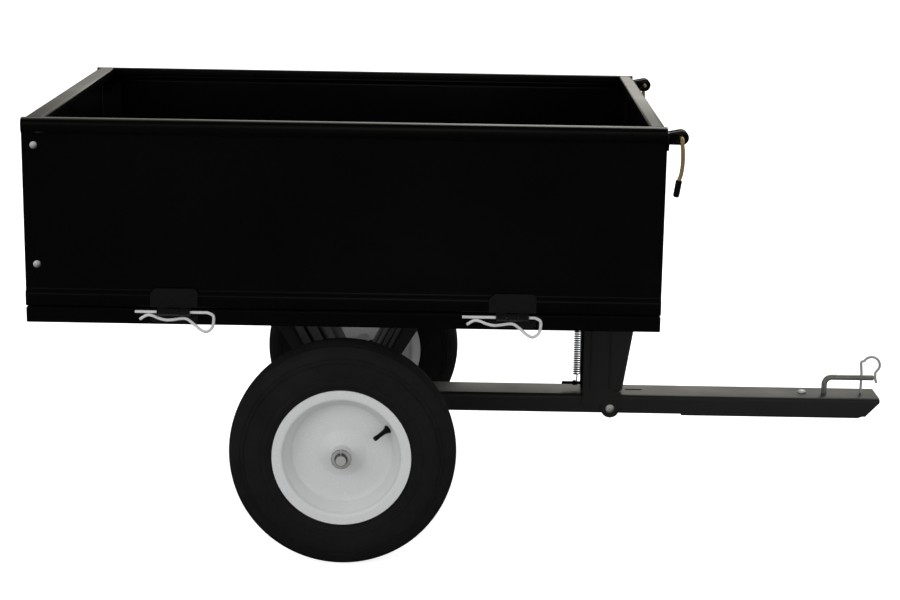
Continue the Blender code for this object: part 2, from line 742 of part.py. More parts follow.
def make_axle():
    """The axle with its flanged spacers, outer washers and split pins."""
    axle = bar("axle", at(0, -AXLE_HALF_LENGTH, AXLE_Z), at(0, AXLE_HALF_LENGTH, AXLE_Z),
               AXLE_RADIUS, ZINC, sides=STEPS_BORE)
    washer_end = WASHER_FACE_Y + WASHER_THICKNESS
    spacer_start = LEG_SPAN / 2 + GAP + END_PLATE_SHEET + GAP
    spacer_end = WHEEL_CENTRE_Y - HUB_INNER - GAP
    flange = spacer_end - WASHER_THICKNESS
    bore = AXLE_RADIUS + AXLE_CLEARANCE
    tube = bore + SPACER_WALL
    middle = at(0, 0, AXLE_Z)
    holes = []
    for label, side in SIDES:
        way = (0, side, 0)
        ring = [(bore, WASHER_FACE_Y), (WASHER_RADIUS, WASHER_FACE_Y),
                (WASHER_RADIUS, washer_end), (bore, washer_end)]
        turned(f"axle_washer_{label}", ring, middle, way, ZINC, STEPS_BORE)
        profile = [(bore, spacer_start), (tube, spacer_start), (tube, flange),
                   (WASHER_RADIUS, flange), (WASHER_RADIUS, spacer_end), (bore, spacer_end)]
        turned(f"axle_spacer_{label}", profile, middle, way, ZINC, STEPS_BORE)
        pin_y = side * (AXLE_HALF_LENGTH - SPLIT_PIN_INSET)
        radius = SPLIT_PIN_WIRE * 1.1
        wide = AXLE_RADIUS + OVERCUT
        holes.append(bar(f"split_pin_hole_{label}", at(0, pin_y, AXLE_Z - wide),
                         at(0, pin_y, AXLE_Z + wide), radius + GAP, cutter=True))
        shank = bar(f"split_pin_{label}", at(0, pin_y, AXLE_Z - AXLE_RADIUS - SPLIT_PIN_TAIL),
                    at(0, pin_y, AXLE_Z + AXLE_RADIUS + SPLIT_PIN_NECK), radius, ZINC)
        ring = [(SPLIT_EYE_INNER, -SPLIT_EYE_HALF), (SPLIT_EYE_OUTER, -SPLIT_EYE_HALF),
                (SPLIT_EYE_OUTER, SPLIT_EYE_HALF), (SPLIT_EYE_INNER, SPLIT_EYE_HALF)]
        eye = turned(f"split_eye_{label}", ring,
                     at(0, pin_y, AXLE_Z + AXLE_RADIUS + SPLIT_EYE_RISE), (1, 0, 0), ZINC,
                     STEPS_SMALL)
        combine(shank, [baked(eye)])
    cut(axle, holes)


# Drawbar and hitch


def make_drawbar():
    """The pressed channel drawbar, open below, with its nose cut back at a slant."""
    inner = DRAWBAR_SHEET / 2
    side = DRAWBAR_HALF - inner
    path = [(-side, DRAWBAR_UNDER), (-side, DRAWBAR_TOP - inner), (side, DRAWBAR_TOP - inner),
            (side, DRAWBAR_UNDER)]
    length = DRAWBAR_NOSE + DRAWBAR_TAIL
    middle = AXLE_X + (DRAWBAR_NOSE - DRAWBAR_TAIL) / 2
    drawbar = folded("drawbar", path, DRAWBAR_SHEET, plane_yz(middle), length, CHASSIS_PAINT,
                     DRAWBAR_BEND, 2)
    steep = (DRAWBAR_HEIGHT - NOSE_FACE) / NOSE_CHAMFER
    below = DRAWBAR_UNDER - OVERCUT * steep
    wedge = [(DRAWBAR_NOSE - NOSE_CHAMFER - OVERCUT, below),
             (DRAWBAR_NOSE + OVERCUT, DRAWBAR_TOP - NOSE_FACE + OVERCUT * steep),
             (DRAWBAR_NOSE + OVERCUT, below)]
    wedge = [(AXLE_X + x, z) for x, z in wedge]
    wide = DRAWBAR_HALF + OVERCUT
    cutters = [plate("nose_cut", wedge, 2 * wide, plane_xz(0), cutter=True)]
    cutters.append(bar("drawbar_axle_hole", at(0, -wide, AXLE_Z), at(0, wide, AXLE_Z),
                       AXLE_RADIUS + GAP, cutter=True, sides=STEPS_BORE))
    cutters.append(bar("drawbar_latch_hole", at(LATCH_PIVOT_X, -wide, LATCH_PIVOT_Z),
                       at(LATCH_PIVOT_X, wide, LATCH_PIVOT_Z), LATCH_PIVOT_RADIUS + GAP,
                       cutter=True))
    for name, x, radius in (("drawbar_pin_hole", HITCH_PIN_X, HITCH_PIN_RADIUS),
                            ("drawbar_bolt_hole", STRAP_BOLT_X, STRAP_BOLT_RADIUS)):
        cutters.append(bar(name, at(x, 0, DRAWBAR_TOP - OVERCUT), at(x, 0, DRAWBAR_TOP + OVERCUT),
                           radius + GAP, cutter=True))
    half = SLOT_WIDTH / 2
    run = SLOT_LENGTH / 2 - half
    slot = arc((SLOT_X + run, 0), half, -90, 90, 5) + arc((SLOT_X - run, 0), half, 90, 270, 5)
    slot = [(AXLE_X + x, y) for x, y in slot]
    cutters.append(plate("drawbar_slot", slot, 2 * OVERCUT, plane_xy(DRAWBAR_TOP), cutter=True))
    cut(drawbar, cutters)


def make_hitch():
    """The strap under the nose, its bolt, the bent hitch pin and its spring clip."""
    half = STRAP_WIDTH / 2
    corner = STRAP_CORNER
    outline = [(STRAP_START, -half), (STRAP_END - corner, -half), (STRAP_END, -half + corner),
               (STRAP_END, half - corner), (STRAP_END - corner, half), (STRAP_START, half)]
    holes = [circle((HITCH_PIN_X, 0), HITCH_PIN_RADIUS + GAP),
             circle((STRAP_BOLT_X, 0), STRAP_BOLT_RADIUS + GAP)]
    outline = [(AXLE_X + x, y) for x, y in outline]
    holes = [[(AXLE_X + x, y) for x, y in hole] for hole in holes]
    strap_z = DRAWBAR_UNDER - GAP - STRAP_SHEET / 2
    plate("hitch_strap", outline, STRAP_SHEET, plane_xy(strap_z), CHASSIS_PAINT, holes)
    under = strap_z - STRAP_SHEET / 2
    bolt("strap_bolt", at(STRAP_BOLT_X, 0, DRAWBAR_TOP + GAP), at(STRAP_BOLT_X, 0, under - GAP),
         STRAP_BOLT_RADIUS, STRAP_BOLT_HEAD, STRAP_NUT, STRAP_BOLT_TAIL)
    foot = under - HITCH_PIN_BELOW
    top = HITCH_PIN_BEND_HEIGHT
    turn = HITCH_PIN_BEND
    path = [at(HITCH_PIN_X, 0, foot), at(HITCH_PIN_X, 0, top - turn)]
    centre = (HITCH_PIN_X + turn, top - turn)
    path += [at(x, 0, z) for x, z in arc(centre, turn, 180, 90, 5)[1:]]
    path.append(at(HITCH_PIN_END, 0, top))
    pin = baked(wire("hitch_pin", path, HITCH_PIN_RADIUS, ZINC, 3))
    clip_hole = bar("hitch_clip_hole", at(HITCH_CLIP_X, 0, top - 2 * OVERCUT),
                    at(HITCH_CLIP_X, 0, top + 2 * OVERCUT), HITCH_CLIP_WIRE + GAP, cutter=True)
    cut(pin, [clip_hole])
    wire("hitch_clip", hitch_clip_path(), HITCH_CLIP_WIRE, ZINC)


def hitch_clip_path():
    """The spring clip that stands in the pin's arm: a straight leg, a ring and a bowed leg."""
    ring_z = HITCH_CLIP_TOP - HITCH_CLIP_RING - HITCH_CLIP_WIRE
    arm = HITCH_PIN_BEND_HEIGHT
    clear = HITCH_PIN_END + GAP + HITCH_CLIP_WIRE
    points = [(HITCH_CLIP_X, DRAWBAR_TOP + HITCH_CLIP_LIFT)]
    points += [(HITCH_CLIP_X + out, arm + rise) for out, rise in HITCH_CLIP_NECK]
    points += arc((CLIP_RING_X, ring_z), HITCH_CLIP_RING, 150, -20, 7)
    points += [(clear + out, arm + rise) for out, rise in HITCH_CLIP_TAIL]
    return [at(x, 0, z) for x, z in points]


# Prop, latch and spring


def make_prop():
    """The folded strap that the bed rests on, with the upturned tab that holds the spring."""
    inner = PROP_SHEET / 2
    base = DRAWBAR_TOP + GAP + inner
    top = FLOOR_UNDER - CROSS_DEPTH - GAP - inner
    path = [(PROP_TAB_X + inner, base + PROP_TAB_HEIGHT), (PROP_TAB_X + inner, base),
            (PROP_X, base), (PROP_X, top), (PROP_X - PROP_TOP_FLANGE, top)]
    path = [(AXLE_X + x, z) for x, z in path]
    prop = folded("bed_prop", path, PROP_SHEET, plane_xz(0), PROP_WIDTH, CHASSIS_PAINT,
                  PROP_BEND, 2)
    tab_hole = bar("anchor_hole", at(PROP_TAB_X - OVERCUT, 0, ANCHOR_Z),
                   at(PROP_TAB_X + OVERCUT, 0, ANCHOR_Z), ANCHOR_RADIUS + GAP, cutter=True)
    cut(prop, [tab_hole])
    head = PROP_TAB_X + PROP_SHEET + GAP
    nut = SPRING_X - SPRING_WIRE - 2 * GAP
    nut_end = nut - 2 * ANCHOR_RADIUS
    profile = [(0.0, -ANCHOR_HEAD), (ANCHOR_NUT, -ANCHOR_HEAD), (ANCHOR_NUT, 0.0),
               (ANCHOR_RADIUS, 0.0),
               (ANCHOR_RADIUS, head - nut), (ANCHOR_NUT, head - nut),
               (ANCHOR_NUT, head - nut_end), (ANCHOR_RADIUS, head - nut_end),
               (ANCHOR_RADIUS, head - ANCHOR_TAIL_X), (0.0, head - ANCHOR_TAIL_X)]
    turned("spring_anchor_bolt", profile, at(head, 0, ANCHOR_Z), (-1, 0, 0), ZINC, STEPS_SMALL)


def latch_section(z, front):
    """The latch's folded section at a height: two sides, two facets a side and a front web."""
    inner = LATCH_SHEET / 2
    side = LATCH_INNER_Y + inner
    half = [(LATCH_REAR_X, side), (front - LATCH_FACET, side),
            (front - LATCH_CORNER, side - LATCH_FACET_DEPTH),
            (front - inner, side - LATCH_CORNER_DEPTH)]
    path = [(x, -y) for x, y in half] + half[::-1]
    return [at(x, y, z) for x, y in sheet_outline(path, LATCH_SHEET, LATCH_BEND)]


def make_latch():
    """The tipping latch: a folded lever on the drawbar that hooks over the bed's striker."""
    foot_z = LATCH_FOOT_Z
    top_z = LATCH_HOOK_Z
    latch = loft("tipping_latch", latch_section(foot_z, LATCH_FRONT_FOOT_X),
                 latch_section(top_z, LATCH_FRONT_TOP_X), CHASSIS_PAINT)
    pieces = []
    pivot = (LATCH_PIVOT_X, LATCH_PIVOT_Z)
    lobe = arc(pivot, LATCH_LOBE, *LATCH_LOBE_ARC, 10)
    heel = lobe[0][1]
    lobe += [(LATCH_FRONT_FOOT_X - LATCH_NECK_INSET, LATCH_PIVOT_Z + LATCH_NECK_RISE),
             (LATCH_FRONT_FOOT_X - LATCH_FACET, foot_z + LATCH_LAP),
             (LATCH_REAR_X, foot_z + LATCH_LAP), (LATCH_REAR_X, heel)]
    lobe = [(AXLE_X + x, z) for x, z in lobe]
    for side in (-1, 1):
        middle = side * (LATCH_INNER_Y + LATCH_SHEET / 2)
        pieces.append(plate(f"latch_lobe_{side}", lobe, LATCH_SHEET, plane_xz(middle)))
        for index, x in enumerate(LATCH_RIBS):
            face = side * (LATCH_OUTER_Y - LATCH_RIB_SINK)
            pieces.append(bar(f"latch_rib_{side}_{index}", at(x, face, foot_z + LATCH_RIB_FOOT),
                              at(x, face, LATCH_SHOULDER_Z - LATCH_RIB_HEAD), LATCH_RIB_RADIUS))
    wide = LATCH_INNER_Y + LATCH_SHEET / 3
    pieces.append(bar("latch_spring_pin", at(SPRING_X, -wide, SPRING_PIN_Z),
                      at(SPRING_X, wide, SPRING_PIN_Z), SPRING_PIN_RADIUS))
    latch = combine(latch, pieces)
    for side in (-1, 1):
        ear = ear_outline()
        middle = side * (LATCH_INNER_Y + LATCH_SHEET / 2)
        latch = combine(latch, [plate(f"latch_ear_{side}", ear, LATCH_SHEET, plane_xz(middle))])
    wide = LATCH_OUTER_Y + OVERCUT
    hook = [(AXLE_X + x, z) for x, z in hook_cut_outline()]
    cutters = [plate("latch_hook_cut", hook, 2 * wide, plane_xz(0), cutter=True)]
    cutters.append(bar("latch_pivot_hole", at(LATCH_PIVOT_X, -wide, LATCH_PIVOT_Z),
                       at(LATCH_PIVOT_X, wide, LATCH_PIVOT_Z), LATCH_PIVOT_RADIUS + GAP,
                       cutter=True))
    cut(latch, cutters)
    bolt("latch_pivot_bolt", at(LATCH_PIVOT_X, -LATCH_OUTER_Y - GAP, LATCH_PIVOT_Z),
         at(LATCH_PIVOT_X, LATCH_OUTER_Y + GAP, LATCH_PIVOT_Z), LATCH_PIVOT_RADIUS,
         LATCH_PIVOT_HEAD)


def ear_outline():
    """A small lug behind each side that carries the spring's cross pin."""
    lug = arc((SPRING_X, SPRING_PIN_Z), EAR_RADIUS, 90, 270, 6)
    lug += [(LATCH_REAR_X + LATCH_LAP, SPRING_PIN_Z - EAR_RADIUS - EAR_FOOT),
            (LATCH_REAR_X + LATCH_LAP, SPRING_PIN_Z + EAR_RADIUS + EAR_HEAD)]
    return [(AXLE_X + x, z) for x, z in lug]


def hook_cut_outline():
    """What is cut from the latch's top: the mouth that opens to the rear, under the nose."""
    path_x = -(STRIKER_Z - AXLE_Z)
    path_z = STRIKER_X
    scale = math.hypot(path_x, path_z)
    ahead = Vector((path_z, -path_x)) / scale
    along = Vector((path_x, path_z)) / scale
    bar_at = Vector((STRIKER_X, STRIKER_Z))
    edge = bar_at + ahead * (STRIKER_RADIUS + STRIKER_CLEARANCE)
    top = edge + along * ((LATCH_HOOK_Z + OVERCUT - edge.y) / along.y)
    rear = LATCH_REAR_X - OVERCUT
    return [(rear, LATCH_SHOULDER_Z), (edge.x, LATCH_SHOULDER_Z), tuple(edge), tuple(top),
            (rear, top.y)]


def spring_path():
    """The coil with a hook at each end, as one unbroken wire."""
    hook = SPRING_HOOK
    points = []
    for degrees in SPRING_LOW_TURN:
        angle = math.radians(degrees)
        points.append((SPRING_X, hook * math.cos(angle), ANCHOR_Z + hook * math.sin(angle)))
    for ahead, out, below in SPRING_LEAD_IN:
        points.append((SPRING_X + ahead, out, SPRING_FOOT_Z - below))
    count = SPRING_TURNS * SPRING_POINTS_PER_TURN
    for index in range(count + 1):
        angle = math.pi / 2 + 2 * math.pi * index / SPRING_POINTS_PER_TURN
        height = SPRING_FOOT_Z + SPRING_PITCH * index / SPRING_POINTS_PER_TURN
        points.append((SPRING_X + SPRING_RADIUS * math.cos(angle),
                       SPRING_RADIUS * math.sin(angle), height))
    behind, out, above = SPRING_LEAD_OUT
    points.append((SPRING_X - behind, out, SPRING_TOP_Z + above))
    behind, below = SPRING_LEAD_UP
    points.append((SPRING_X - behind, 0.0, SPRING_PIN_Z - hook - below))
    for degrees in SPRING_HIGH_TURN:
        angle = math.radians(degrees)
        points.append((SPRING_X + hook * math.cos(angle), 0.0,
                       SPRING_PIN_Z + hook * math.sin(angle)))
    return [at(*point) for point in points]


def make_spring():
    """The latch spring, with its least gap to itself measured on its points."""
    path = spring_path()
    wire("latch_spring", path, SPRING_WIRE, ZINC)
    apart = SPRING_POINTS_PER_TURN // 2
    least = min((a - b).length for index, a in enumerate(path) for b in path[index + apart:])
    print(f"latch spring: least gap to itself {1000 * (least - 2 * SPRING_WIRE):.2f} mm")


# Bed and axle legs


def make_bed():
    """The bed tray, its cross channel and the striker that the latch hooks over."""
    half = SIDE_Y

    def fill(bm):
        size = Matrix.Diagonal((BOX_LENGTH, 2 * half, BED_SKIRT, 1.0))
        middle = Matrix.Translation((BOX_X, 0, FLOOR_Z - BED_SKIRT / 2))
        bmesh.ops.create_cube(bm, size=1.0, matrix=middle @ size)
        lowest = [face for face in bm.faces if face.normal.z < -0.5]
        bmesh.ops.delete(bm, geom=lowest, context="FACES_ONLY")

    tray = mesh_object("bed_tray", fill, BLACK_PAINT)
    bevel = tray.modifiers.new("bends", "BEVEL")
    bevel.width = BEND_RADIUS
    bevel.segments = 1
    bevel.limit_method = "ANGLE"
    shell = tray.modifiers.new("sheet", "SOLIDIFY")
    shell.thickness = SHEET
    shell.offset = -1.0
    shell.use_even_offset = True
    tray = baked(tray)
    holes = []
    for index, (x, y) in enumerate(leg_bolt_places()):
        holes.append(bar(f"floor_hole_{index}", at(x, y, FLOOR_Z - OVERCUT),
                         at(x, y, FLOOR_Z + OVERCUT), LEG_BOLT_RADIUS + GAP, cutter=True))
    cut(tray, holes)
    inner = SHEET / 2
    low = FLOOR_UNDER - CROSS_DEPTH + inner
    high = FLOOR_UNDER - GAP - inner
    side = CROSS_WIDTH / 2 - inner
    path = [(-side - CROSS_FLANGE, high), (-side, high), (-side, low), (side, low),
            (side, high), (side + CROSS_FLANGE, high)]
    path = [(AXLE_X + CROSS_X + u, z) for u, z in path]
    length = 2 * (half - SHEET - CROSS_END_GAP)
    front = folded("bed_cross_front", path, SHEET, plane_xz(0), length, CHASSIS_PAINT)
    seat = FLOOR_UNDER - CROSS_DEPTH
    high = seat + STRIKER_LUG_RISE
    behind = PROP_X - STRIKER_LUG_REAR
    lug = arc((STRIKER_X, STRIKER_Z), STRIKER_LUG_RADIUS, -120, 60, 6)
    lug += [(PROP_X + STRIKER_LUG_FRONT, high), (behind, high), (behind, seat - STRIKER_LUG_DROP)]
    lug = [(AXLE_X + x, z) for x, z in lug]
    hole = [(AXLE_X + x, z) for x, z in circle((STRIKER_X, STRIKER_Z), STRIKER_RADIUS + GAP)]
    lugs = []
    for side in (-1, 1):
        lugs.append(plate(f"striker_lug_{side}", lug, STRIKER_LUG_SHEET,
                          plane_xz(side * STRIKER_LUG_Y), holes=[hole]))
    combine(front, lugs)
    reach = STRIKER_LUG_Y + STRIKER_LUG_SHEET / 2 + STRIKER_PROUD
    bar("striker_bar", at(STRIKER_X, -reach, STRIKER_Z), at(STRIKER_X, reach, STRIKER_Z),
        STRIKER_RADIUS, ZINC)


def leg_bolt_places():
    """Where the legs are bolted to the floor."""
    x = LEG_TOP_X + LEG_TOP_FLANGE / 2 + LEG_BOLT_SHIFT
    return [(sign * x, y) for sign in (-1, 1) for y in (-LEG_BOLT_Y, LEG_BOLT_Y)]


def leg_section(sign, x, z, flange, slope):
    """A leg's section at one end: a wide sheet with pressed beads and turned edges."""
    inner = LEG_SHEET / 2
    edge = LEG_SPAN / 2 - inner
    path = [(-edge, flange), (-edge, 0.0)]
    for middle in LEG_BEADS:
        wide = LEG_BEAD_WIDTH / 2
        flat = wide * LEG_BEAD_TOP
        path += [(middle - wide, 0.0), (middle - flat, LEG_BEAD_DEPTH),
                 (middle + flat, LEG_BEAD_DEPTH), (middle + wide, 0.0)]
    path += [(edge, 0.0), (edge, flange)]
    out_x = math.cos(slope) * sign
    out_z = -math.sin(slope)
    outline = sheet_outline(path, LEG_SHEET, LEG_BEND, 1)
    return [at(x + v * out_x, u, z + v * out_z) for u, v in outline]


def make_leg(name, sign):
    """One pressed leg from the axle up to the floor, with a bolted top flange."""
    foot_x = sign * LEG_FOOT_X
    foot_z = AXLE_Z + LEG_FOOT_RISE
    top_x = sign * LEG_TOP_X
    top_z = FLOOR_UNDER - GAP - LEG_SHEET / 2
    slope = math.atan2(abs(top_x - foot_x), top_z - foot_z)
    leg = loft(name, leg_section(sign, foot_x, foot_z, LEG_FLANGE_FOOT, slope),
               leg_section(sign, top_x, top_z, LEG_FLANGE_TOP, slope), CHASSIS_PAINT)
    top = FLOOR_UNDER - GAP
    ends = sorted((top_x - sign * LEG_FLANGE_LAP, top_x + sign * LEG_TOP_FLANGE))
    half = LEG_SPAN / 2
    flange = block(f"{name}_flange", at(ends[0], -half, top - LEG_SHEET), at(ends[1], half, top))
    reach = LEG_TOP_X + LEG_TOP_FLANGE + OVERCUT
    above = block(f"{name}_trim", at(-reach, -half - OVERCUT, top),
                  at(reach, half + OVERCUT, top + reach), cutter=True)
    leg = combine(leg, [flange])
    notch_half = DRAWBAR_HALF + LEG_NOTCH_SIDE
    notch = block(f"{name}_notch", at(-reach, -notch_half, AXLE_Z - LEG_NOTCH_RISE),
                  at(reach, notch_half, AXLE_Z + LEG_NOTCH_RISE), cutter=True)
    cutters = [above, notch]
    for index, (x, y) in enumerate(leg_bolt_places()):
        if x * sign > 0:
            cutters.append(bar(f"{name}_hole_{index}", at(x, y, top - OVERCUT),
                               at(x, y, top + OVERCUT), LEG_BOLT_RADIUS + GAP, cutter=True))
    cut(leg, cutters)


def make_legs():
    """Both legs, the plates at their ends that the axle runs through, and their bolts."""
    make_leg("axle_leg_front", 1)
    make_leg("axle_leg_rear", -1)
    rise = AXLE_Z + END_PLATE_RISE
    outline = arc((0, AXLE_Z), END_PLATE_ROUND, -165, -15, 8)
    shoulder = END_PLATE_HALF * END_PLATE_SHOULDER
    outline += [(END_PLATE_HALF, rise), (shoulder, rise), (0.0, rise - END_PLATE_DIP),
                (-shoulder, rise), (-END_PLATE_HALF, rise)]
    outline = [(AXLE_X + x, z) for x, z in outline]
    hole = [(AXLE_X + x, z) for x, z in circle((0, AXLE_Z), AXLE_RADIUS + GAP, STEPS_BORE)]
    for label, side in SIDES:
        middle = side * (LEG_SPAN / 2 + GAP + END_PLATE_SHEET / 2)
        plate(f"axle_plate_{label}", outline, END_PLATE_SHEET, plane_xz(middle), CHASSIS_PAINT,
              [hole])
    for x, y in leg_bolt_places():
        head = at(x, y, FLOOR_Z + GAP)
        nut = at(x, y, FLOOR_UNDER - GAP - LEG_SHEET - GAP)
        where = f"{'front' if x > 0 else 'rear'}_{'left' if y > 0 else 'right'}"
        bolt(f"leg_bolt_{where}", head, nut, LEG_BOLT_RADIUS, LEG_BOLT_HEAD)


# Box panels


def panel_path(outer, rail_width, foot_z, foot_flange):
    """A wall's section from its top lip to its foot, as (distance out, height)."""
    inner = SHEET / 2
    face = outer - inner
    wall = outer - RAIL_PROUD - inner
    top = RIM_HEIGHT - inner
    base_top = foot_z + BASE_RAIL_DEPTH
    return [(outer - rail_width + inner, RIM_HEIGHT - RAIL_LIP), (outer - rail_width + inner, top),
            (face, top), (face, RIM_HEIGHT - RAIL_DEPTH),
            (wall, RIM_HEIGHT - RAIL_DEPTH - RAIL_STEP), (wall, base_top + RAIL_STEP),
            (face, base_top), (face, foot_z + inner), (outer - foot_flange, foot_z + inner)]


def make_side(label, side):
    """A side wall with its rolled rails and turned ends."""
    foot = FLOOR_Z + GAP
    path = panel_path(SIDE_Y, SIDE_RAIL_WIDTH, foot, SIDE_RAIL_WIDTH)
    path = [(side * y, z) for y, z in path]
    panel = folded(f"side_panel_{label}", path, SHEET, plane_yz(BOX_X), BOX_LENGTH, BLACK_PAINT)
    low = foot + BASE_RAIL_DEPTH
    high = RIM_HEIGHT - RAIL_DEPTH
    flanges = []
    for end in (-1, 1):
        x = BOX_X + end * (BOX_HALF - SHEET / 2)
        near = SIDE_INNER_Y + SIDE_END_INSET
        far = SIDE_Y - RAIL_PROUD - SHEET / 2
        ys = sorted((side * near, side * far))
        flanges.append(block(f"side_end_{label}_{end}", (x - SHEET / 2, ys[0], low),
                             (x + SHEET / 2, ys[1], high)))
    panel = combine(panel, flanges + make_corner_eye(label, side))
    holes = []
    for index, height in enumerate(CORNER_BOLT_HEIGHTS):
        x = BOX_X - BOX_HALF + CORNER_BOLT_INSET
        holes.append(bar(f"side_hole_{label}_{index}", (x, side * SIDE_INNER_Y, height),
                         (x, side * (SIDE_Y + OVERCUT), height), CORNER_BOLT_RADIUS + GAP,
                         cutter=True))
    cut(panel, holes)


def make_rear():
    """The rear wall, with turned flanges that are bolted inside the side walls."""
    foot = FLOOR_Z + GAP
    outer = BOX_HALF
    path = panel_path(outer, REAR_RAIL_WIDTH, foot, REAR_RAIL_WIDTH)
    path = [(BOX_X - x, z) for x, z in path]
    width = 2 * (SIDE_INNER_Y - GAP)
    panel = folded("rear_panel", path, SHEET, plane_xz(0), width, BLACK_PAINT)
    wall = BOX_X - BOX_HALF + RAIL_PROUD + SHEET / 2
    reach = SIDE_Y - RAIL_PROUD - SHEET - GAP - SHEET / 2
    low = foot + BASE_RAIL_DEPTH + 2 * RAIL_STEP
    high = RIM_HEIGHT - RAIL_DEPTH - 2 * RAIL_STEP
    flanges = []
    for side in (-1, 1):
        path = [(wall, side * (SIDE_INNER_Y - CORNER_FLANGE_LAP)), (wall, side * reach),
                (wall + CORNER_FLANGE, side * reach)]
        flanges.append(folded(f"rear_flange_{side}", path, SHEET, plane_xy((low + high) / 2),
                              high - low))
    panel = combine(panel, flanges)
    holes = []
    x = BOX_X - BOX_HALF + CORNER_BOLT_INSET
    for label, side in SIDES:
        for level, height in zip(("lower", "upper"), CORNER_BOLT_HEIGHTS):
            name = f"{label}_{level}"
            inside = SIDE_Y - RAIL_PROUD - 2 * SHEET - 2 * GAP
            holes.append(bar(f"rear_hole_{name}", (x, side * (inside - OVERCUT), height),
                             (x, side * SIDE_Y, height), CORNER_BOLT_RADIUS + GAP, cutter=True))
            bolt(f"rear_corner_bolt_{name}", (x, side * (SIDE_Y - RAIL_PROUD + GAP), height),
                 (x, side * inside, height), CORNER_BOLT_RADIUS, CORNER_BOLT_HEAD)
    cut(panel, holes)


def eye_outline(back):
    """A rounded lug from a foot plane out to the eye, as places from the axle."""
    x = BOX_AHEAD + BOX_HALF + EYE_AHEAD
    return arc((x, EYE_Z), EYE_RADIUS, -105, 105, 8) + [(back, EYE_Z + EYE_RADIUS * 0.62),
                                                         (back, EYE_Z - EYE_RADIUS * 0.95)]


def make_gate():
    """The front gate: a wall with folded rails, hung from two eyes at its top corners."""
    foot = FLOOR_Z + GAP + GATE_LIFT
    path = panel_path(BOX_HALF, GATE_RAIL_WIDTH, foot, GATE_FOOT_FLANGE)
    path = [(BOX_X + x, z) for x, z in path]
    half = SIDE_INNER_Y - GATE_SIDE_GAP
    gate = folded("front_gate", path, SHEET, plane_xz(0), 2 * half, BLACK_PAINT)
    front = BOX_AHEAD + BOX_HALF
    pieces = []
    outline = [(AXLE_X + x, z) for x, z in eye_outline(front - EYE_LAP)]
    hole_at = (AXLE_X + front + EYE_AHEAD, EYE_Z)
    hole = circle(hole_at, CORNER_PIN_RADIUS + GAP)
    for side in (-1, 1):
        y = side * (half - EYE_SHEET / 2 - GATE_EYE_INSET)
        pieces.append(plate(f"gate_eye_{side}", outline, EYE_SHEET, plane_xz(y), holes=[hole]))
    combine(gate, pieces)


def make_corner_eye(label, side):
    """The eye and its foot, which are welded to the side wall's front end."""
    front = BOX_AHEAD + BOX_HALF
    outline = [(AXLE_X + x, z) for x, z in eye_outline(front - EYE_LAP)]
    hole_at = (AXLE_X + front + EYE_AHEAD, EYE_Z)
    hole = circle(hole_at, CORNER_PIN_RADIUS + GAP)
    y = side * (SIDE_Y - EYE_INSET)
    eye = plate(f"corner_eye_{label}", outline, EYE_SHEET, plane_xz(y), holes=[hole])
    ys = sorted((side * (SIDE_INNER_Y + EYE_LAP), side * (SIDE_Y - EYE_LAP)))
    low = EYE_Z - EYE_FOOT_HEIGHT * EYE_FOOT_SHARE
    foot = block(f"corner_foot_{label}", at(front - EYE_FOOT_SINK, ys[0], low),
                 at(front + EYE_FOOT_SHEET, ys[1], low + EYE_FOOT_HEIGHT))
    return [eye, foot]


def make_corner(label, side):
    """The bent pin through both eyes of a corner and the vinyl cap on its end."""
    front = BOX_AHEAD + BOX_HALF
    outer = SIDE_Y + CORNER_PIN_PROUD
    turn = CORNER_PIN_BEND
    pin_x = front + EYE_AHEAD
    path = [(pin_x, CORNER_PIN_INNER_Y, EYE_Z), (pin_x, outer - turn, EYE_Z)]
    for u, v in arc((outer - turn, EYE_Z - turn), turn, 90, 0, 4)[1:]:
        path.append((pin_x, u, v))
    path += [(pin_x + ahead, outer, EYE_Z - below) for ahead, below in CORNER_PIN_SET]
    ahead, below = CORNER_PIN_TIP
    path.append((pin_x + ahead, outer, EYE_Z - below))
    path = [at(x, side * y, z) for x, y, z in path]
    wire(f"corner_pin_{label}", path, CORNER_PIN_RADIUS, YELLOW_ZINC, 2)
    knee, tip = path[-2:]
    way = tip - knee
    bore = CORNER_PIN_RADIUS + GAP
    outer_radius = bore + CAP_WALL
    end = CAP_LENGTH - CAP_GRIP
    profile = [(bore, -CAP_GRIP), (outer_radius, -CAP_GRIP), (outer_radius, end - CAP_ROUND),
               (outer_radius - CAP_ROUND, end), (0.0, end), (0.0, GAP * 2), (bore, GAP * 2)]
    turned(f"pin_cap_{label}", profile, tip, way, VINYL, STEPS_SMALL)


# Clip brackets


def knuckle(name, side, start, length):
    """One bored knuckle of a bracket, along X."""
    centre = (side * KNUCKLE_Y, KNUCKLE_Z)
    ring = circle(centre, KNUCKLE_RADIUS * math.cos(math.pi / STEPS_SMALL))
    hole = circle(centre, CLIP_WIRE + GAP)
    return plate(name, ring, length, plane_yz(AXLE_X + start + length / 2), holes=[hole])


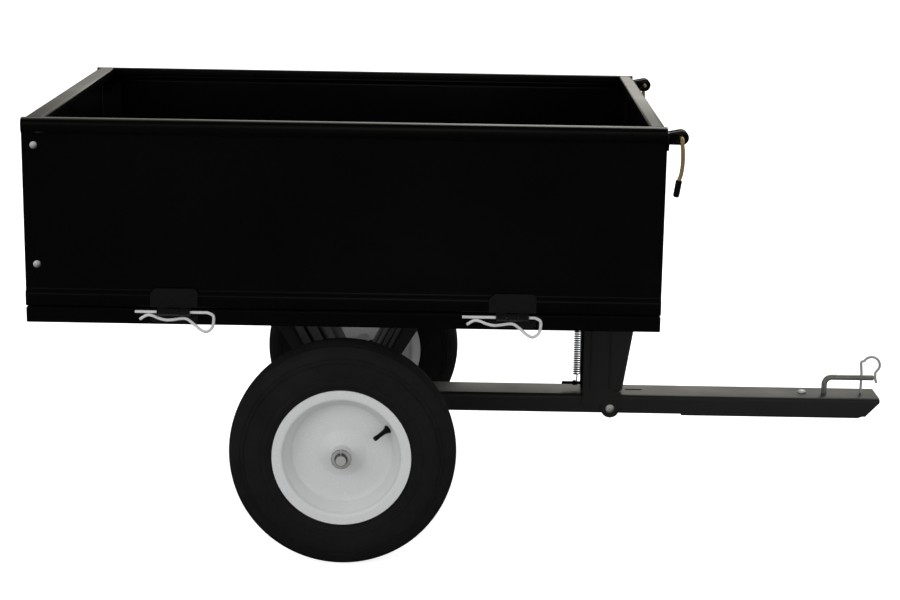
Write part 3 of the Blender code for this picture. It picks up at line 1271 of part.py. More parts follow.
def make_bracket(where, x, label, side):
    """An upper leaf on the box, a lower leaf on the bed, and the spring clip that joins them."""
    face = SIDE_Y + GAP + LEAF_SHEET / 2
    first = x - 1.5 * KNUCKLE_LENGTH
    half = LEAF_WIDTH / 2
    corner = LEAF_CORNER
    name = f"{where}_{label}"
    ledge = KNUCKLE_Z + KNUCKLE_RADIUS + GAP
    sill = KNUCKLE_Z - KNUCKLE_RADIUS - GAP
    upper = [(x - half, ledge), (x + half, ledge), (x + half, LEAF_TOP - corner * 0.6),
             (x + half - corner * 0.6, LEAF_TOP), (x - half + corner, LEAF_TOP),
             (x - half, LEAF_TOP - corner)]
    nick = LEAF_NICK
    lower = [(x - half, LEAF_BOTTOM + nick), (x - half + nick, LEAF_BOTTOM),
             (x + half - nick, LEAF_BOTTOM), (x + half, LEAF_BOTTOM + nick),
             (x + half, sill), (x - half, sill)]
    for kind, outline, indices in (("upper", upper, (0, 2)), ("lower", lower, (1,))):
        outline = [(AXLE_X + u, v) for u, v in outline]
        leaf = plate(f"{kind}_leaf_{name}", outline, LEAF_SHEET, plane_xz(side * face),
                     BLACK_PAINT)
        pieces = []
        for index in indices:
            start = first + index * KNUCKLE_LENGTH + (GAP if index else 0)
            length = KNUCKLE_LENGTH - (2 * GAP if index == 1 else GAP)
            pieces.append(knuckle(f"{kind}_knuckle_{name}_{index}", side, start, length))
            if kind == "upper":
                span = (KNUCKLE_Z, ledge + WEB_LAP)
            else:
                span = (sill - WEB_LAP, KNUCKLE_Z)
            ys = sorted((side * (face - LEAF_SHEET / 2), side * (face + LEAF_SHEET / 2)))
            pieces.append(block(f"{kind}_web_{name}_{index}",
                                at(start, ys[0], span[0]), at(start + length, ys[1], span[1])))
        rivet_z = LEAF_TOP - UPPER_RIVET_DROP if kind == "upper" else LEAF_BOTTOM + LOWER_RIVET_RISE
        seat = side * (face + LEAF_SHEET / 2 - RIVET_SINK)
        for sign in (-1, 1):
            head = domed_head(f"{kind}_rivet_{name}_{sign}",
                              at(x + sign * RIVET_REACH, seat, rivet_z), (0, side, 0),
                              RIVET_RADIUS, RIVET_HEIGHT, steps=6)
            pieces.append(baked(head))
        leaf = combine(leaf, pieces)
        bore = bar(f"{kind}_bore_{name}", at(first - OVERCUT, side * KNUCKLE_Y, KNUCKLE_Z),
                   at(first + 3 * KNUCKLE_LENGTH + OVERCUT, side * KNUCKLE_Y, KNUCKLE_Z),
                   CLIP_WIRE + GAP, cutter=True)
        cut(leaf, [bore])


def clip_path(x, lead, side):
    """The side clip: a straight leg through the knuckles, a loop and a waved leg below."""
    start = x - lead
    y = side * KNUCKLE_Y
    straight = [at(start, y, KNUCKLE_Z), at(start + CLIP_STRAIGHT, y, KNUCKLE_Z)]
    wave = [at(start + along, y, KNUCKLE_Z - drop) for along, drop in CLIP_WAVE]
    return [straight[0]] + smooth_path(straight[1:] + wave, 2)


# Assembly


def pivot_empty(name, place_at):
    """An empty on a joint's axis, for the pieces that move about it."""
    empty = bpy.data.objects.new(name, None)
    empty.location = place_at
    empty.empty_display_size = 0.05
    PARTS.objects.link(empty)
    return empty


def hang(empty, names):
    """Parents the pieces to the empty without moving them."""
    bpy.context.view_layer.update()
    for name in names:
        obj = bpy.data.objects[name]
        obj.parent = empty
        obj.matrix_parent_inverse = empty.matrix_world.inverted()


def build():
    make_axle()
    make_drawbar()
    make_hitch()
    make_prop()
    make_latch()
    make_spring()
    make_bed()
    make_legs()
    for label, side in SIDES:
        make_wheel(label, side)
        make_side(label, side)
        make_corner(label, side)
        for where, x, lead in zip(BRACKET_NAMES, BRACKET_CENTRES, CLIP_LEADS):
            make_bracket(where, x, label, side)
            wire(f"box_clip_{where}_{label}", clip_path(x, lead, side), CLIP_WIRE, ZINC)
    make_rear()
    make_gate()

    tip = pivot_empty("tip_axis", at(0, 0, AXLE_Z))
    bed = ["bed_tray", "bed_cross_front", "striker_bar", "axle_leg_front", "axle_leg_rear",
           "rear_panel"]
    for label, side in SIDES:
        bed += [f"axle_plate_{label}", f"side_panel_{label}", f"leg_bolt_front_{label}",
                f"leg_bolt_rear_{label}", f"rear_corner_bolt_{label}_lower",
                f"rear_corner_bolt_{label}_upper"]
        bed += [f"{kind}_leaf_{where}_{label}" for kind in ("upper", "lower")
                for where in BRACKET_NAMES]
    hang(tip, bed)
    eye_x = BOX_AHEAD + BOX_HALF + EYE_AHEAD
    gate = pivot_empty("gate_axis", at(eye_x, 0, EYE_Z))
    hang(gate, ["front_gate"])
    pivots = [gate]
    for label, side in SIDES:
        pin = pivot_empty(f"corner_pin_axis_{label}", at(eye_x, side * SIDE_Y, EYE_Z))
        hang(pin, [f"corner_pin_{label}", f"pin_cap_{label}"])
        pivots.append(pin)
        for where, x in zip(BRACKET_NAMES, BRACKET_CENTRES):
            clip = pivot_empty(f"clip_axis_{where}_{label}", at(x, side * KNUCKLE_Y, KNUCKLE_Z))
            hang(clip, [f"box_clip_{where}_{label}"])
            pivots.append(clip)
        wheel = pivot_empty(f"wheel_axis_{label}", at(0, side * WHEEL_CENTRE_Y, AXLE_Z))
        hang(wheel, [f"{kind}_{label}" for kind in ("tyre", "rim", "hub_bush", "valve")])
    hang(tip, [pivot.name for pivot in pivots])
    latch = pivot_empty("latch_axis", at(LATCH_PIVOT_X, 0, LATCH_PIVOT_Z))
    hang(latch, ["tipping_latch"])
    pin = pivot_empty("hitch_pin_axis", at(HITCH_PIN_X, 0, DRAWBAR_TOP))
    hang(pin, ["hitch_pin", "hitch_clip"])


build()
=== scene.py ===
"""Looks of the garden tractor trailer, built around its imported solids."""

import json
import math
import random

import bmesh
import bpy
from mathutils import Matrix, Vector


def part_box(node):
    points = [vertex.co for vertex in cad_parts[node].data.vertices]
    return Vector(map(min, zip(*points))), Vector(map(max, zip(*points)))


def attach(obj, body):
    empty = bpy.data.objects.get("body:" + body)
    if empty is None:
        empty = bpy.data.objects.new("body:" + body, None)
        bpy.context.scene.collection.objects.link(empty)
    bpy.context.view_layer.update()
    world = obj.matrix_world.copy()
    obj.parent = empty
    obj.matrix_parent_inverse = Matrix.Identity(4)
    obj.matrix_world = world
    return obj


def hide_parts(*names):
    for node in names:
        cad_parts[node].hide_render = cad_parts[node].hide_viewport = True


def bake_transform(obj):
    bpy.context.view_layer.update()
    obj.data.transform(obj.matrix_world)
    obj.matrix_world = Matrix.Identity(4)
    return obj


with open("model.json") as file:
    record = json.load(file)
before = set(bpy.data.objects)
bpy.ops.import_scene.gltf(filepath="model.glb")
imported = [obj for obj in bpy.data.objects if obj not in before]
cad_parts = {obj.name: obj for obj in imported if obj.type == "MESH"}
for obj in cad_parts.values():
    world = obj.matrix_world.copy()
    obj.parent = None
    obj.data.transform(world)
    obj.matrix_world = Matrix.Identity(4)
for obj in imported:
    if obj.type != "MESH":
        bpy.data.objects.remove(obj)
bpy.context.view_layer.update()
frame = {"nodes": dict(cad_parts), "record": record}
random.seed(7)

# Sizes in metres. Places are measured from the axle's middle, on the ground, as in the part.
GAP = 0.0003
SHEET = 0.002
WHEEL_CENTRE_Y = 0.378
AXLE_Z = 0.200

# Box
BOX_LENGTH = 1.100
BOX_WIDTH = 0.766
BOX_AHEAD = 0.0
FLOOR_Z = 0.4533
RIM_HEIGHT = 0.7808
RAIL_DEPTH = 0.021
BASE_RAIL_DEPTH = 0.0235
RAIL_PROUD = 0.005
RAIL_STEP = 0.005
RAIL_LIP = 0.012
SIDE_RAIL_WIDTH = 0.022
REAR_RAIL_WIDTH = 0.035
GATE_RAIL_WIDTH = 0.028
GATE_WIDTH = 0.720
GATE_LIFT = 0.0022
GATE_FOOT_FLANGE = 0.012
CORNER_FLANGE = 0.040
CORNER_BOLT_INSET = 0.021
CORNER_BOLT_RISE = 0.0736
CORNER_BOLT_DROP = 0.0468
CORNER_BOLT = (0.003, 0.0066)

# Drawbar and hitch
DRAWBAR_TOP = 0.215
DRAWBAR_HEIGHT = 0.0355
DRAWBAR_WIDTH = 0.083
DRAWBAR_TAIL = 0.030
DRAWBAR_NOSE = 1.0123
NOSE_CHAMFER = 0.0265
SLOT_X = 0.5418
BOLT_X = 0.8686
STRAP_BOLT = (0.005, 0.0085)
STRAP_SHEET = 0.005
PIN_X = 0.9113
PIN_RADIUS = 0.0055
PIN_BELOW = 0.004
PIN_BEND = 0.014
ARM_Z = 0.2465
ARM_END_X = 1.0061
HITCH_CLIP_X = 0.9822
HITCH_CLIP_TOP = 0.2905
HITCH_CLIP_WIRE = 0.0026
HITCH_CLIP_RING = 0.0163
HITCH_CLIP_BOW = 0.0017
HITCH_CLIP_LIFT = 0.0006
HITCH_CLIP_NECK = ((0.0, 0.0), (0.0, 0.009), (-0.0014, 0.0233), (-0.0014, 0.0313))
HITCH_CLIP_TAIL = ((0.0002, 0.0105), (0.0, 0.0040), (0.0004, -0.0020), (0.0032, -0.0105))

# Latch, legs and spring. The bolts have the radii of their shanks and heads.
PIVOT_X = 0.4943
PIVOT_Z = 0.1884
PIVOT_BOLT = (0.006, 0.0085)
PROP_X = 0.4913
LEG_TOP_X = 0.131
LEG_SPAN = 0.466
LEG_BOLT = (0.004, 0.0085)
LEG_BOLT_Y = 0.165
LEG_BOLT_AHEAD = 0.022
LEG_SHEET = 0.003
SPRING_X = 0.4316
SPRING_FOOT_Z = 0.2438
SPRING_WIRE = 0.0012
SPRING_RADIUS = 0.0068
SPRING_PITCH = 0.0044
SPRING_TURNS = 25
SPRING_HOOK = 0.0046
ANCHOR_Z = 0.2270

# Side clips, corner eyes and corner pins
KNUCKLE_Z = 0.4483
KNUCKLE_RADIUS = 0.0065
BRACKETS = (("rear", -0.2929, 0.067), ("front", 0.2929, 0.087))
CLIP_STRAIGHT = 0.126
CLIP_WIRE = 0.0027
EYE_AHEAD = 0.024
EYE_DROP = 0.0170
EYE_RADIUS = 0.0125
EYE_SHEET = 0.005
EYE_INSET = 0.009
EYE_EDGE = 0.0009
CORNER_PIN_RADIUS = 0.0035
CORNER_PIN_INNER_Y = 0.3395
CORNER_PIN_BEND = 0.008
CORNER_PIN_PROUD = 0.006
CORNER_PIN_SET = ((0.0015, 0.020), (0.0020, 0.042), (0.0, 0.060), (-0.0030, 0.070),
                  (-0.0045, 0.080))
AXLE_PAST_WHEEL = 0.0630
SPLIT_PIN_INSET = 0.0047

# Derived places
SIDE_Y = BOX_WIDTH / 2
SIDE_INNER_Y = SIDE_Y - SIDE_RAIL_WIDTH
KNUCKLE_Y = SIDE_Y + GAP + KNUCKLE_RADIUS
BOX_HALF = BOX_LENGTH / 2
FRONT = BOX_AHEAD + BOX_HALF
AXLE_END_Y = WHEEL_CENTRE_Y + AXLE_PAST_WHEEL
EYE_X = FRONT + EYE_AHEAD
EYE_Z = RIM_HEIGHT - EYE_DROP
SIDES = (("right", -1), ("left", 1))
AXLE_X = (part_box("axle")[0].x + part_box("axle")[1].x) / 2
BOX_X = AXLE_X + BOX_AHEAD


def at(x, y, z):
    return Vector((AXLE_X + x, y, z))


# Materials


def new_material(name, colour, roughness, metallic=0.0, coat=0.0, specular=0.5):
    made = bpy.data.materials.new(name)
    made.use_nodes = True
    tree = made.node_tree
    shader = tree.nodes["Principled BSDF"]
    shader.inputs["Base Color"].default_value = (*colour, 1.0)
    shader.inputs["Roughness"].default_value = roughness
    shader.inputs["Metallic"].default_value = metallic
    shader.inputs["Specular IOR Level"].default_value = specular
    shader.inputs["Coat Weight"].default_value = coat
    shader.inputs["Coat Roughness"].default_value = 0.06
    return made, tree, shader


def noise(tree, scale, detail=3.0, roughness=0.55, stretch=None):
    """A noise pattern in the object's own space, stretched along an axis if asked."""
    coordinates = tree.nodes.new("ShaderNodeTexCoord")
    source = coordinates.outputs["Object"]
    if stretch:
        mapping = tree.nodes.new("ShaderNodeMapping")
        mapping.inputs["Scale"].default_value = stretch
        tree.links.new(source, mapping.inputs["Vector"])
        source = mapping.outputs["Vector"]
    texture = tree.nodes.new("ShaderNodeTexNoise")
    texture.inputs["Scale"].default_value = scale
    texture.inputs["Detail"].default_value = detail
    texture.inputs["Roughness"].default_value = roughness
    tree.links.new(source, texture.inputs["Vector"])
    return texture.outputs["Fac"]


def remap(tree, source, low, high, to_low, to_high):
    node = tree.nodes.new("ShaderNodeMapRange")
    node.inputs["From Min"].default_value = low
    node.inputs["From Max"].default_value = high
    node.inputs["To Min"].default_value = to_low
    node.inputs["To Max"].default_value = to_high
    tree.links.new(source, node.inputs["Value"])
    return node.outputs["Result"]


def computed(tree, operation, first, second):
    node = tree.nodes.new("ShaderNodeMath")
    node.operation = operation
    tree.links.new(first, node.inputs[0])
    tree.links.new(second, node.inputs[1])
    return node.outputs["Value"]


def mixed(tree, factor, first, second):
    """A colour mixed from two, where each is a colour or another node's output."""
    node = tree.nodes.new("ShaderNodeMix")
    node.data_type = "RGBA"
    tree.links.new(factor, node.inputs["Factor"])
    for socket, value in ((node.inputs[6], first), (node.inputs[7], second)):
        if isinstance(value, tuple):
            socket.default_value = (*value, 1.0)
        else:
            tree.links.new(value, socket)
    return node.outputs[2]


def bumped(tree, shader, sources, socket="Normal"):
    """Stacks bumps, each a height, a strength and a depth in metres."""
    before = None
    for height, strength, distance in sources:
        node = tree.nodes.new("ShaderNodeBump")
        node.inputs["Strength"].default_value = strength
        node.inputs["Distance"].default_value = distance
        tree.links.new(height, node.inputs["Height"])
        if before:
            tree.links.new(before, node.inputs["Normal"])
        before = node.outputs["Normal"]
    tree.links.new(before, shader.inputs[socket])


def paint(name, colour, dusty, roughness, coat, specular):
    """Sprayed enamel: fine orange peel, patchy gloss and a trace of dust."""
    made, tree, shader = new_material(name, colour, roughness, 0.0, coat, specular)
    cloud = noise(tree, 3.5, 4.0)
    speck = remap(tree, noise(tree, 520.0, 2.0), 0.60, 0.74, 0.0, 0.5)
    film = mixed(tree, remap(tree, cloud, 0.35, 0.75, 0.0, 0.6), colour, dusty)
    dust = mixed(tree, speck, film, tuple(min(1.0, c * 1.6 + 0.004) for c in dusty))
    tree.links.new(dust, shader.inputs["Base Color"])
    gloss = remap(tree, noise(tree, 9.0, 5.0), 0.3, 0.75, roughness * 0.85, roughness * 1.25)
    tree.links.new(gloss, shader.inputs["Roughness"])
    peel = noise(tree, 260.0, 2.0)
    wave = noise(tree, 14.0, 1.0)
    bumped(tree, shader, [(wave, 0.10, 0.002), (peel, 0.05, 0.0004)])
    if coat:
        coat_peel = noise(tree, 190.0, 1.0)
        bumped(tree, shader, [(coat_peel, 0.03, 0.0003)], "Coat Normal")
    return made


# The way the light comes from: plating with painted shade is darker on sides that face away from
# it.
LIT_WAY = (-0.60, 0.0, 0.80)


def plated(name, colour, stain, roughness, metallic, painted_shade=None):
    """Zinc plating: clouded colour, a soft sheen and, if asked, painted shade on the sides that
    face away from the upper left.
    """
    made, tree, shader = new_material(name, colour, roughness, metallic)
    cloud = remap(tree, noise(tree, 60.0, 5.0), 0.35, 0.72, 0.0, 1.0)
    film = mixed(tree, cloud, colour, stain)
    # Painted shade: the colour darkens as the surface turns away from the lit upper left.
    if painted_shade:
        surface = tree.nodes.new("ShaderNodeNewGeometry")
        facing = tree.nodes.new("ShaderNodeVectorMath")
        facing.operation = "DOT_PRODUCT"
        facing.inputs[1].default_value = LIT_WAY
        tree.links.new(surface.outputs["Normal"], facing.inputs[0])
        share = remap(tree, facing.outputs["Value"], 0.60, -0.45, 0.0, 1.0)
        film = mixed(tree, share, film, painted_shade)
    tree.links.new(film, shader.inputs["Base Color"])
    sheen = remap(tree, noise(tree, 70.0, 4.0), 0.3, 0.75, roughness * 0.8, roughness * 1.3)
    tree.links.new(sheen, shader.inputs["Roughness"])
    bumped(tree, shader, [(noise(tree, 300.0, 2.0), 0.012, 0.0002)])
    return made


def ringed(name, colour, painted_shade, bands):
    """Plating with painted shade in the joints round the axle, in bands of (radius, share of
    painted shade).
    """
    made, tree, shader = new_material(name, colour, 0.4, 0.3)
    coordinates = tree.nodes.new("ShaderNodeTexCoord")
    centred = tree.nodes.new("ShaderNodeMapping")
    centred.inputs["Location"].default_value = (-AXLE_X, 0.0, -AXLE_Z)
    centred.inputs["Scale"].default_value = (1.0, 0.0, 1.0)
    tree.links.new(coordinates.outputs["Object"], centred.inputs["Vector"])
    reach = tree.nodes.new("ShaderNodeVectorMath")
    reach.operation = "LENGTH"
    tree.links.new(centred.outputs["Vector"], reach.inputs[0])
    # Painted shade in rings at the axle's edge and at the washer's rim.
    ramp = tree.nodes.new("ShaderNodeValToRGB")
    full = 0.020
    for radius, share in bands:
        element = ramp.color_ramp.elements.new(radius / full)
        element.color = (share, share, share, 1.0)
    ramp.color_ramp.elements.remove(ramp.color_ramp.elements[0])
    ramp.color_ramp.elements.remove(ramp.color_ramp.elements[-1])
    tree.links.new(remap(tree, reach.outputs["Value"], 0.0, full, 0.0, 1.0), ramp.inputs["Fac"])
    cloud = remap(tree, noise(tree, 160.0, 4.0), 0.35, 0.75, 0.0, 0.5)
    base_tone = mixed(tree, cloud, colour, tuple(c * 0.8 for c in colour))
    tree.links.new(mixed(tree, ramp.outputs["Color"], base_tone, painted_shade), shader.inputs["Base Color"])
    tree.links.new(remap(tree, noise(tree, 90.0, 3.0), 0.3, 0.75, 0.30, 0.55),
                   shader.inputs["Roughness"])
    bumped(tree, shader, [(noise(tree, 900.0, 2.0), 0.12, 0.0002)])
    return made


def rubber(name, colour, dusty, roughness, grain):
    made, tree, shader = new_material(name, colour, roughness, specular=0.35)
    cloud = remap(tree, noise(tree, 22.0, 6.0, 0.65), 0.40, 0.80, 0.0, 0.75)
    speck = remap(tree, noise(tree, 700.0, 2.0), 0.62, 0.75, 0.0, 0.45)
    film = mixed(tree, cloud, colour, dusty)
    tree.links.new(mixed(tree, speck, film, tuple(c * 2.0 for c in dusty)),
                   shader.inputs["Base Color"])
    sheen = remap(tree, noise(tree, 40.0, 4.0), 0.3, 0.75, roughness * 0.85, roughness * 1.1)
    tree.links.new(sheen, shader.inputs["Roughness"])
    bumped(tree, shader, [(noise(tree, grain, 3.0), 0.22, 0.0005)])
    return made


BLACK = paint("gloss_black", (0.0011, 0.0011, 0.0012), (0.0021, 0.0021, 0.0021), 0.22, 0.0, 0.5)
SATIN = paint("satin_black", (0.0135, 0.0135, 0.0132), (0.0190, 0.0190, 0.0184), 0.36, 0.0, 0.5)
RIM_WHITE = paint("rim_grey", (0.575, 0.58, 0.585), (0.53, 0.535, 0.54), 0.34, 0.2, 0.5)
ZINC = plated("zinc", (0.58, 0.59, 0.57), (0.44, 0.45, 0.42), 0.26, 0.80)
DULL_ZINC = plated("dull_zinc", (0.56, 0.57, 0.56), (0.46, 0.47, 0.46), 0.36, 0.45)
# Bolt heads: painted shade on the sides that face away from the upper left.
HEAD_ZINC = plated("head_zinc", (0.68, 0.70, 0.68), (0.55, 0.57, 0.55), 0.30, 0.25,
                   (0.07, 0.07, 0.06))
# Axle and washers: painted shade in rings where the parts meet.
AXLE_ZINC = ringed("axle_zinc", (0.46, 0.47, 0.46), (0.13, 0.13, 0.13),
                   ((0.0, 0.0), (0.0084, 0.0), (0.0092, 1.0), (0.0110, 1.0), (0.0120, 0.0),
                    (0.0162, 0.0), (0.0172, 0.9)))
YELLOW = plated("yellow_zinc", (0.70, 0.53, 0.22), (0.60, 0.44, 0.26), 0.28, 0.8)
TYRE = rubber("tyre_rubber", (0.0066, 0.0066, 0.0066), (0.0110, 0.0109, 0.0106), 0.80, 240.0)
VINYL = rubber("vinyl", (0.0025, 0.0025, 0.0025), (0.0050, 0.0050, 0.0050), 0.42, 400.0)
MATT = paint("matt_black", (0.0040, 0.0040, 0.0040), (0.0070, 0.0070, 0.0068), 0.75, 0.0, 0.0)
BRIGHT_ZINC = plated("bright_zinc", (0.74, 0.75, 0.74), (0.62, 0.63, 0.62), 0.30, 0.30)
LEAF_BLACK = paint("leaf_black", (0.0050, 0.0050, 0.0050), (0.0085, 0.0085, 0.0083), 0.30, 0.0,
                   0.5)
STEEL = plated("spring_steel", (0.09, 0.09, 0.085), (0.04, 0.04, 0.04), 0.30, 0.60)
NYLON = rubber("nylon", (0.020, 0.020, 0.020), (0.030, 0.030, 0.030), 0.45, 300.0)


# Shapes


def put(obj, paint_used, body, stands_for=()):
    """Links a finished piece, gives it its material and lets it ride on its body."""
    if obj.name not in bpy.context.scene.collection.objects:
        bpy.context.scene.collection.objects.link(obj)
    obj.data.materials.clear()
    obj.data.materials.append(paint_used)
    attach(obj, body)
    if stands_for:
        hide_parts(*stands_for)
    return obj


def smooth(mesh, angle=32):
    mesh.shade_smooth()
    mesh.set_sharp_from_angle(angle=math.radians(angle))
    return mesh


def aim(start, direction):
    turn = Vector((0, 0, 1)).rotation_difference(Vector(direction).normalized())
    return Matrix.Translation(Vector(start)) @ turn.to_matrix().to_4x4()


def turned_mesh(bm, profile, matrix, steps):
    """Adds a closed profile of (radius, along), turned about the matrix's Z axis."""
    rings = []
    for radius, along in profile:
        if radius < 1e-7:
            rings.append([bm.verts.new(matrix @ Vector((0, 0, along)))])
            continue
        ring = []
        for index in range(steps):
            angle = 2 * math.pi * index / steps
            point = Vector((radius * math.cos(angle), radius * math.sin(angle), along))
            ring.append(bm.verts.new(matrix @ point))
        rings.append(ring)
    for first, second in zip(rings, rings[1:] + rings[:1]):
        if len(first) == 1 and len(second) == 1:
            continue
        for index in range(steps):
            after = (index + 1) % steps
            corners = []
            for vert in (first[index % len(first)], first[after % len(first)],
                         second[after % len(second)], second[index % len(second)]):
                if vert not in corners:
                    corners.append(vert)
            bm.faces.new(corners)


def turned(name, profiles, start, direction, steps=64, angle=32):
    """One object from one or more closed profiles turned about the same axis."""
    mesh = bpy.data.meshes.new(name)
    bm = bmesh.new()
    matrix = aim(start, direction)
    for profile in profiles:
        turned_mesh(bm, profile, matrix, steps)
    bmesh.ops.recalc_face_normals(bm, faces=bm.faces)
    bm.to_mesh(mesh)
    bm.free()
    return bpy.data.objects.new(name, smooth(mesh, angle))


def arc(centre, radius, start, end, steps):
    points = []
    for index in range(steps + 1):
        angle = math.radians(start + (end - start) * index / steps)
        points.append((centre[0] + radius * math.cos(angle), centre[1] + radius * math.sin(angle)))
    return points


def ring(centre, radius, steps=32):
    return arc(centre, radius, 0, 360, steps)[:-1]


def smooth_path(points, per_span=6):
    """Points on a curve that passes smoothly through the ones given."""
    knots = [Vector(point) for point in points]
    knots = [2 * knots[0] - knots[1], *knots, 2 * knots[-1] - knots[-2]]
    path = []
    for a, b, c, d in zip(knots, knots[1:], knots[2:], knots[3:]):
        for index in range(per_span):
            t = index / per_span
            path.append(0.5 * (2 * b + (c - a) * t + (2 * a - 5 * b + 4 * c - d) * t ** 2
                               + (3 * b - a - 3 * c + d) * t ** 3))
    path.append(knots[-2])
    return path


def rounded(points, radii, steps=5):
    """An open path with its inner corners rounded, with one radius or one for each corner."""
    if not isinstance(radii, (list, tuple)):
        radii = [radii] * (len(points) - 2)
    path = [Vector(points[0])]
    for before, corner, after, radius in zip(points, points[1:], points[2:], radii):
        corner = Vector(corner)
        back = Vector(before) - corner
        ahead = Vector(after) - corner
        reach = min(radius, 0.49 * back.length, 0.49 * ahead.length)
        enter = corner + back.normalized() * reach
        leave = corner + ahead.normalized() * reach
        for index in range(steps + 1):
            t = index / steps
            path.append(enter * (1 - t) ** 2 + corner * 2 * t * (1 - t) + leave * t ** 2)
    path.append(Vector(points[-1]))
    return path


def sheet_outline(points, thickness, radii=0.003, steps=5):
    """The closed outline of a sheet folded along an open path down its middle."""
    path = rounded(points, radii, steps)
    left = []
    right = []
    for index, point in enumerate(path):
        before = path[max(index - 1, 0)]
        after = path[min(index + 1, len(path) - 1)]
        lead = (point - before).normalized() if index else (after - point).normalized()
        trail = (after - point).normalized() if index < len(path) - 1 else lead
        normal = Vector((-(lead + trail).y, (lead + trail).x)).normalized()
        half = thickness / 2 / max(normal.dot(Vector((-lead.y, lead.x))), 0.3)
        left.append(tuple(point + normal * half))
        right.append(tuple(point - normal * half))
    return left + right[::-1]


def plate(name, outline, thickness, matrix, holes=(), edge=0.0003):
    """A flat outline with holes and softly rounded edges."""
    curve = bpy.data.curves.new(name, "CURVE")
    curve.dimensions = "2D"
    curve.fill_mode = "BOTH"
    curve.extrude = thickness / 2 - edge
    curve.bevel_depth = edge
    curve.bevel_resolution = 1
    curve.offset = -edge
    for points in [outline, *holes]:
        spline = curve.splines.new("POLY")
        spline.points.add(len(points) - 1)
        for target, (u, v) in zip(spline.points, points):
            target.co = (u, v, 0.0, 1.0)
        spline.use_cyclic_u = True
    return from_curve(name, curve, matrix)


def taken_mesh(obj):
    """The finished mesh of a linked helper object, which is removed."""
    bpy.context.view_layer.update()
    graph = bpy.context.evaluated_depsgraph_get()
    mesh = bpy.data.meshes.new_from_object(obj.evaluated_get(graph))
    bpy.data.objects.remove(obj, do_unlink=True)
    return mesh


def from_curve(name, curve, matrix=Matrix.Identity(4), angle=32):
    """Turns a curve into a plain mesh object, placed by the matrix."""
    helper = bpy.data.objects.new(name + "_curve", curve)
    bpy.context.scene.collection.objects.link(helper)
    mesh = taken_mesh(helper)
    bm = bmesh.new()
    bm.from_mesh(mesh)
    bmesh.ops.remove_doubles(bm, verts=bm.verts, dist=0.000004)
    bmesh.ops.recalc_face_normals(bm, faces=bm.faces)
    bmesh.ops.transform(bm, matrix=matrix, verts=bm.verts)
    bm.to_mesh(mesh)
    bm.free()
    return bpy.data.objects.new(name, smooth(mesh, angle))


def wire(name, points, radius, resolution=4, radii=None):
    """A round wire with closed ends, whose radius may change along it."""
    curve = bpy.data.curves.new(name, "CURVE")
    curve.dimensions = "3D"
    curve.bevel_depth = radius
    curve.bevel_resolution = resolution
    curve.use_fill_caps = True
    spline = curve.splines.new("POLY")
    spline.points.add(len(points) - 1)
    for index, point in enumerate(points):
        spline.points[index].co = (*point, 1.0)
        spline.points[index].radius = radii[index] if radii else 1.0
    spline.use_smooth = True
    return from_curve(name, curve, angle=50)


def joined(name, objects):
    """One object from several loose ones that aren't linked yet."""
    mesh = bpy.data.meshes.new(name)
    bm = bmesh.new()
    for obj in objects:
        bm.from_mesh(obj.data)
        bpy.data.objects.remove(obj, do_unlink=True)
    bm.to_mesh(mesh)
    bm.free()
    return bpy.data.objects.new(name, smooth(mesh))


def block(name, low, high, edge=0.0006):
    mesh = bpy.data.meshes.new(name)
    bm = bmesh.new()
    low = Vector(low)
    high = Vector(high)
    size = Matrix.Diagonal((*(high - low), 1.0))
    bmesh.ops.create_cube(bm, size=1.0, matrix=Matrix.Translation((low + high) / 2) @ size)
    bmesh.ops.bevel(bm, geom=bm.edges[:], offset=edge, segments=2, affect="EDGES", profile=0.5)
    bm.to_mesh(mesh)
    bm.free()
    return bpy.data.objects.new(name, smooth(mesh))


def plane_yz(x):
    return Matrix(((0, 0, 1, x), (1, 0, 0, 0), (0, 1, 0, 0), (0, 0, 0, 1)))


def plane_xz(y):
    return Matrix(((1, 0, 0, 0), (0, 0, -1, y), (0, 1, 0, 0), (0, 0, 0, 1)))


def plane_xy(z):
    return Matrix.Translation((0, 0, z))


def shifted(points):
    return [(AXLE_X + x, z) for x, z in points]


def weld_bead(name, path, radius, body, paint_used):
    """A stitched weld bead: short overlapping ripples along a path."""
    points = smooth_path(path, 14)
    radii = [1.0 + 0.16 * math.sin(index * 1.9) + random.uniform(-0.06, 0.06)
             for index in range(len(points))]
    return put(wire(name, points, radius, 3, radii), paint_used, body)


# Wheels


def tyre_profile():
    """A ribbed tread over rounded walls, with moulded rings on the walls."""
    half = 0.050
    crown = 0.200
    lip = 0.0432
    seat = 0.1066

    def crown_radius(along):
        return crown - 0.0042 * (along / (half * 0.72)) ** 2

    wall = [(seat, lip - 0.0035), (seat + 0.0035, lip), (0.1245, lip), (0.1262, lip + 0.0016),
            (0.1285, lip + 0.0022), (0.1310, 0.0470), (0.1330, 0.0482), (0.1405, 0.0487),
            (0.1414, 0.0494), (0.1424, 0.0494), (0.1433, 0.0489), (0.1480, 0.0496),
            (0.1560, 0.0498), (0.1640, 0.0492), (0.1700, 0.0485), (0.1706, 0.0496),
            (0.1719, 0.0495), (0.1725, 0.0480), (0.1770, 0.0468), (0.1776, 0.0476),
            (0.1788, 0.0472), (0.1792, 0.0459), (0.1840, 0.0441), (0.1880, 0.0420),
            (0.1905, 0.0402)]
    tread = []
    pitch = 0.0094
    for index in range(8):
        centre = (3.5 - index) * pitch
        for shift, depth in ((0.62, 0.0), (0.42, 0.0004), (0.10, 0.0026), (-0.10, 0.0026),
                             (-0.42, 0.0004), (-0.62, 0.0)):
            along = centre + shift * 0.0036
            tread.append((crown_radius(along) - depth, along))
    outer = wall + tread + [(radius, -along) for radius, along in reversed(wall)]
    inner = [(seat, lip * 0.62), (0.1400, 0.0430), (0.1740, 0.0395), (0.1890, 0.0180)]
    return outer + [(radius, -along) for radius, along in inner] + inner[::-1]


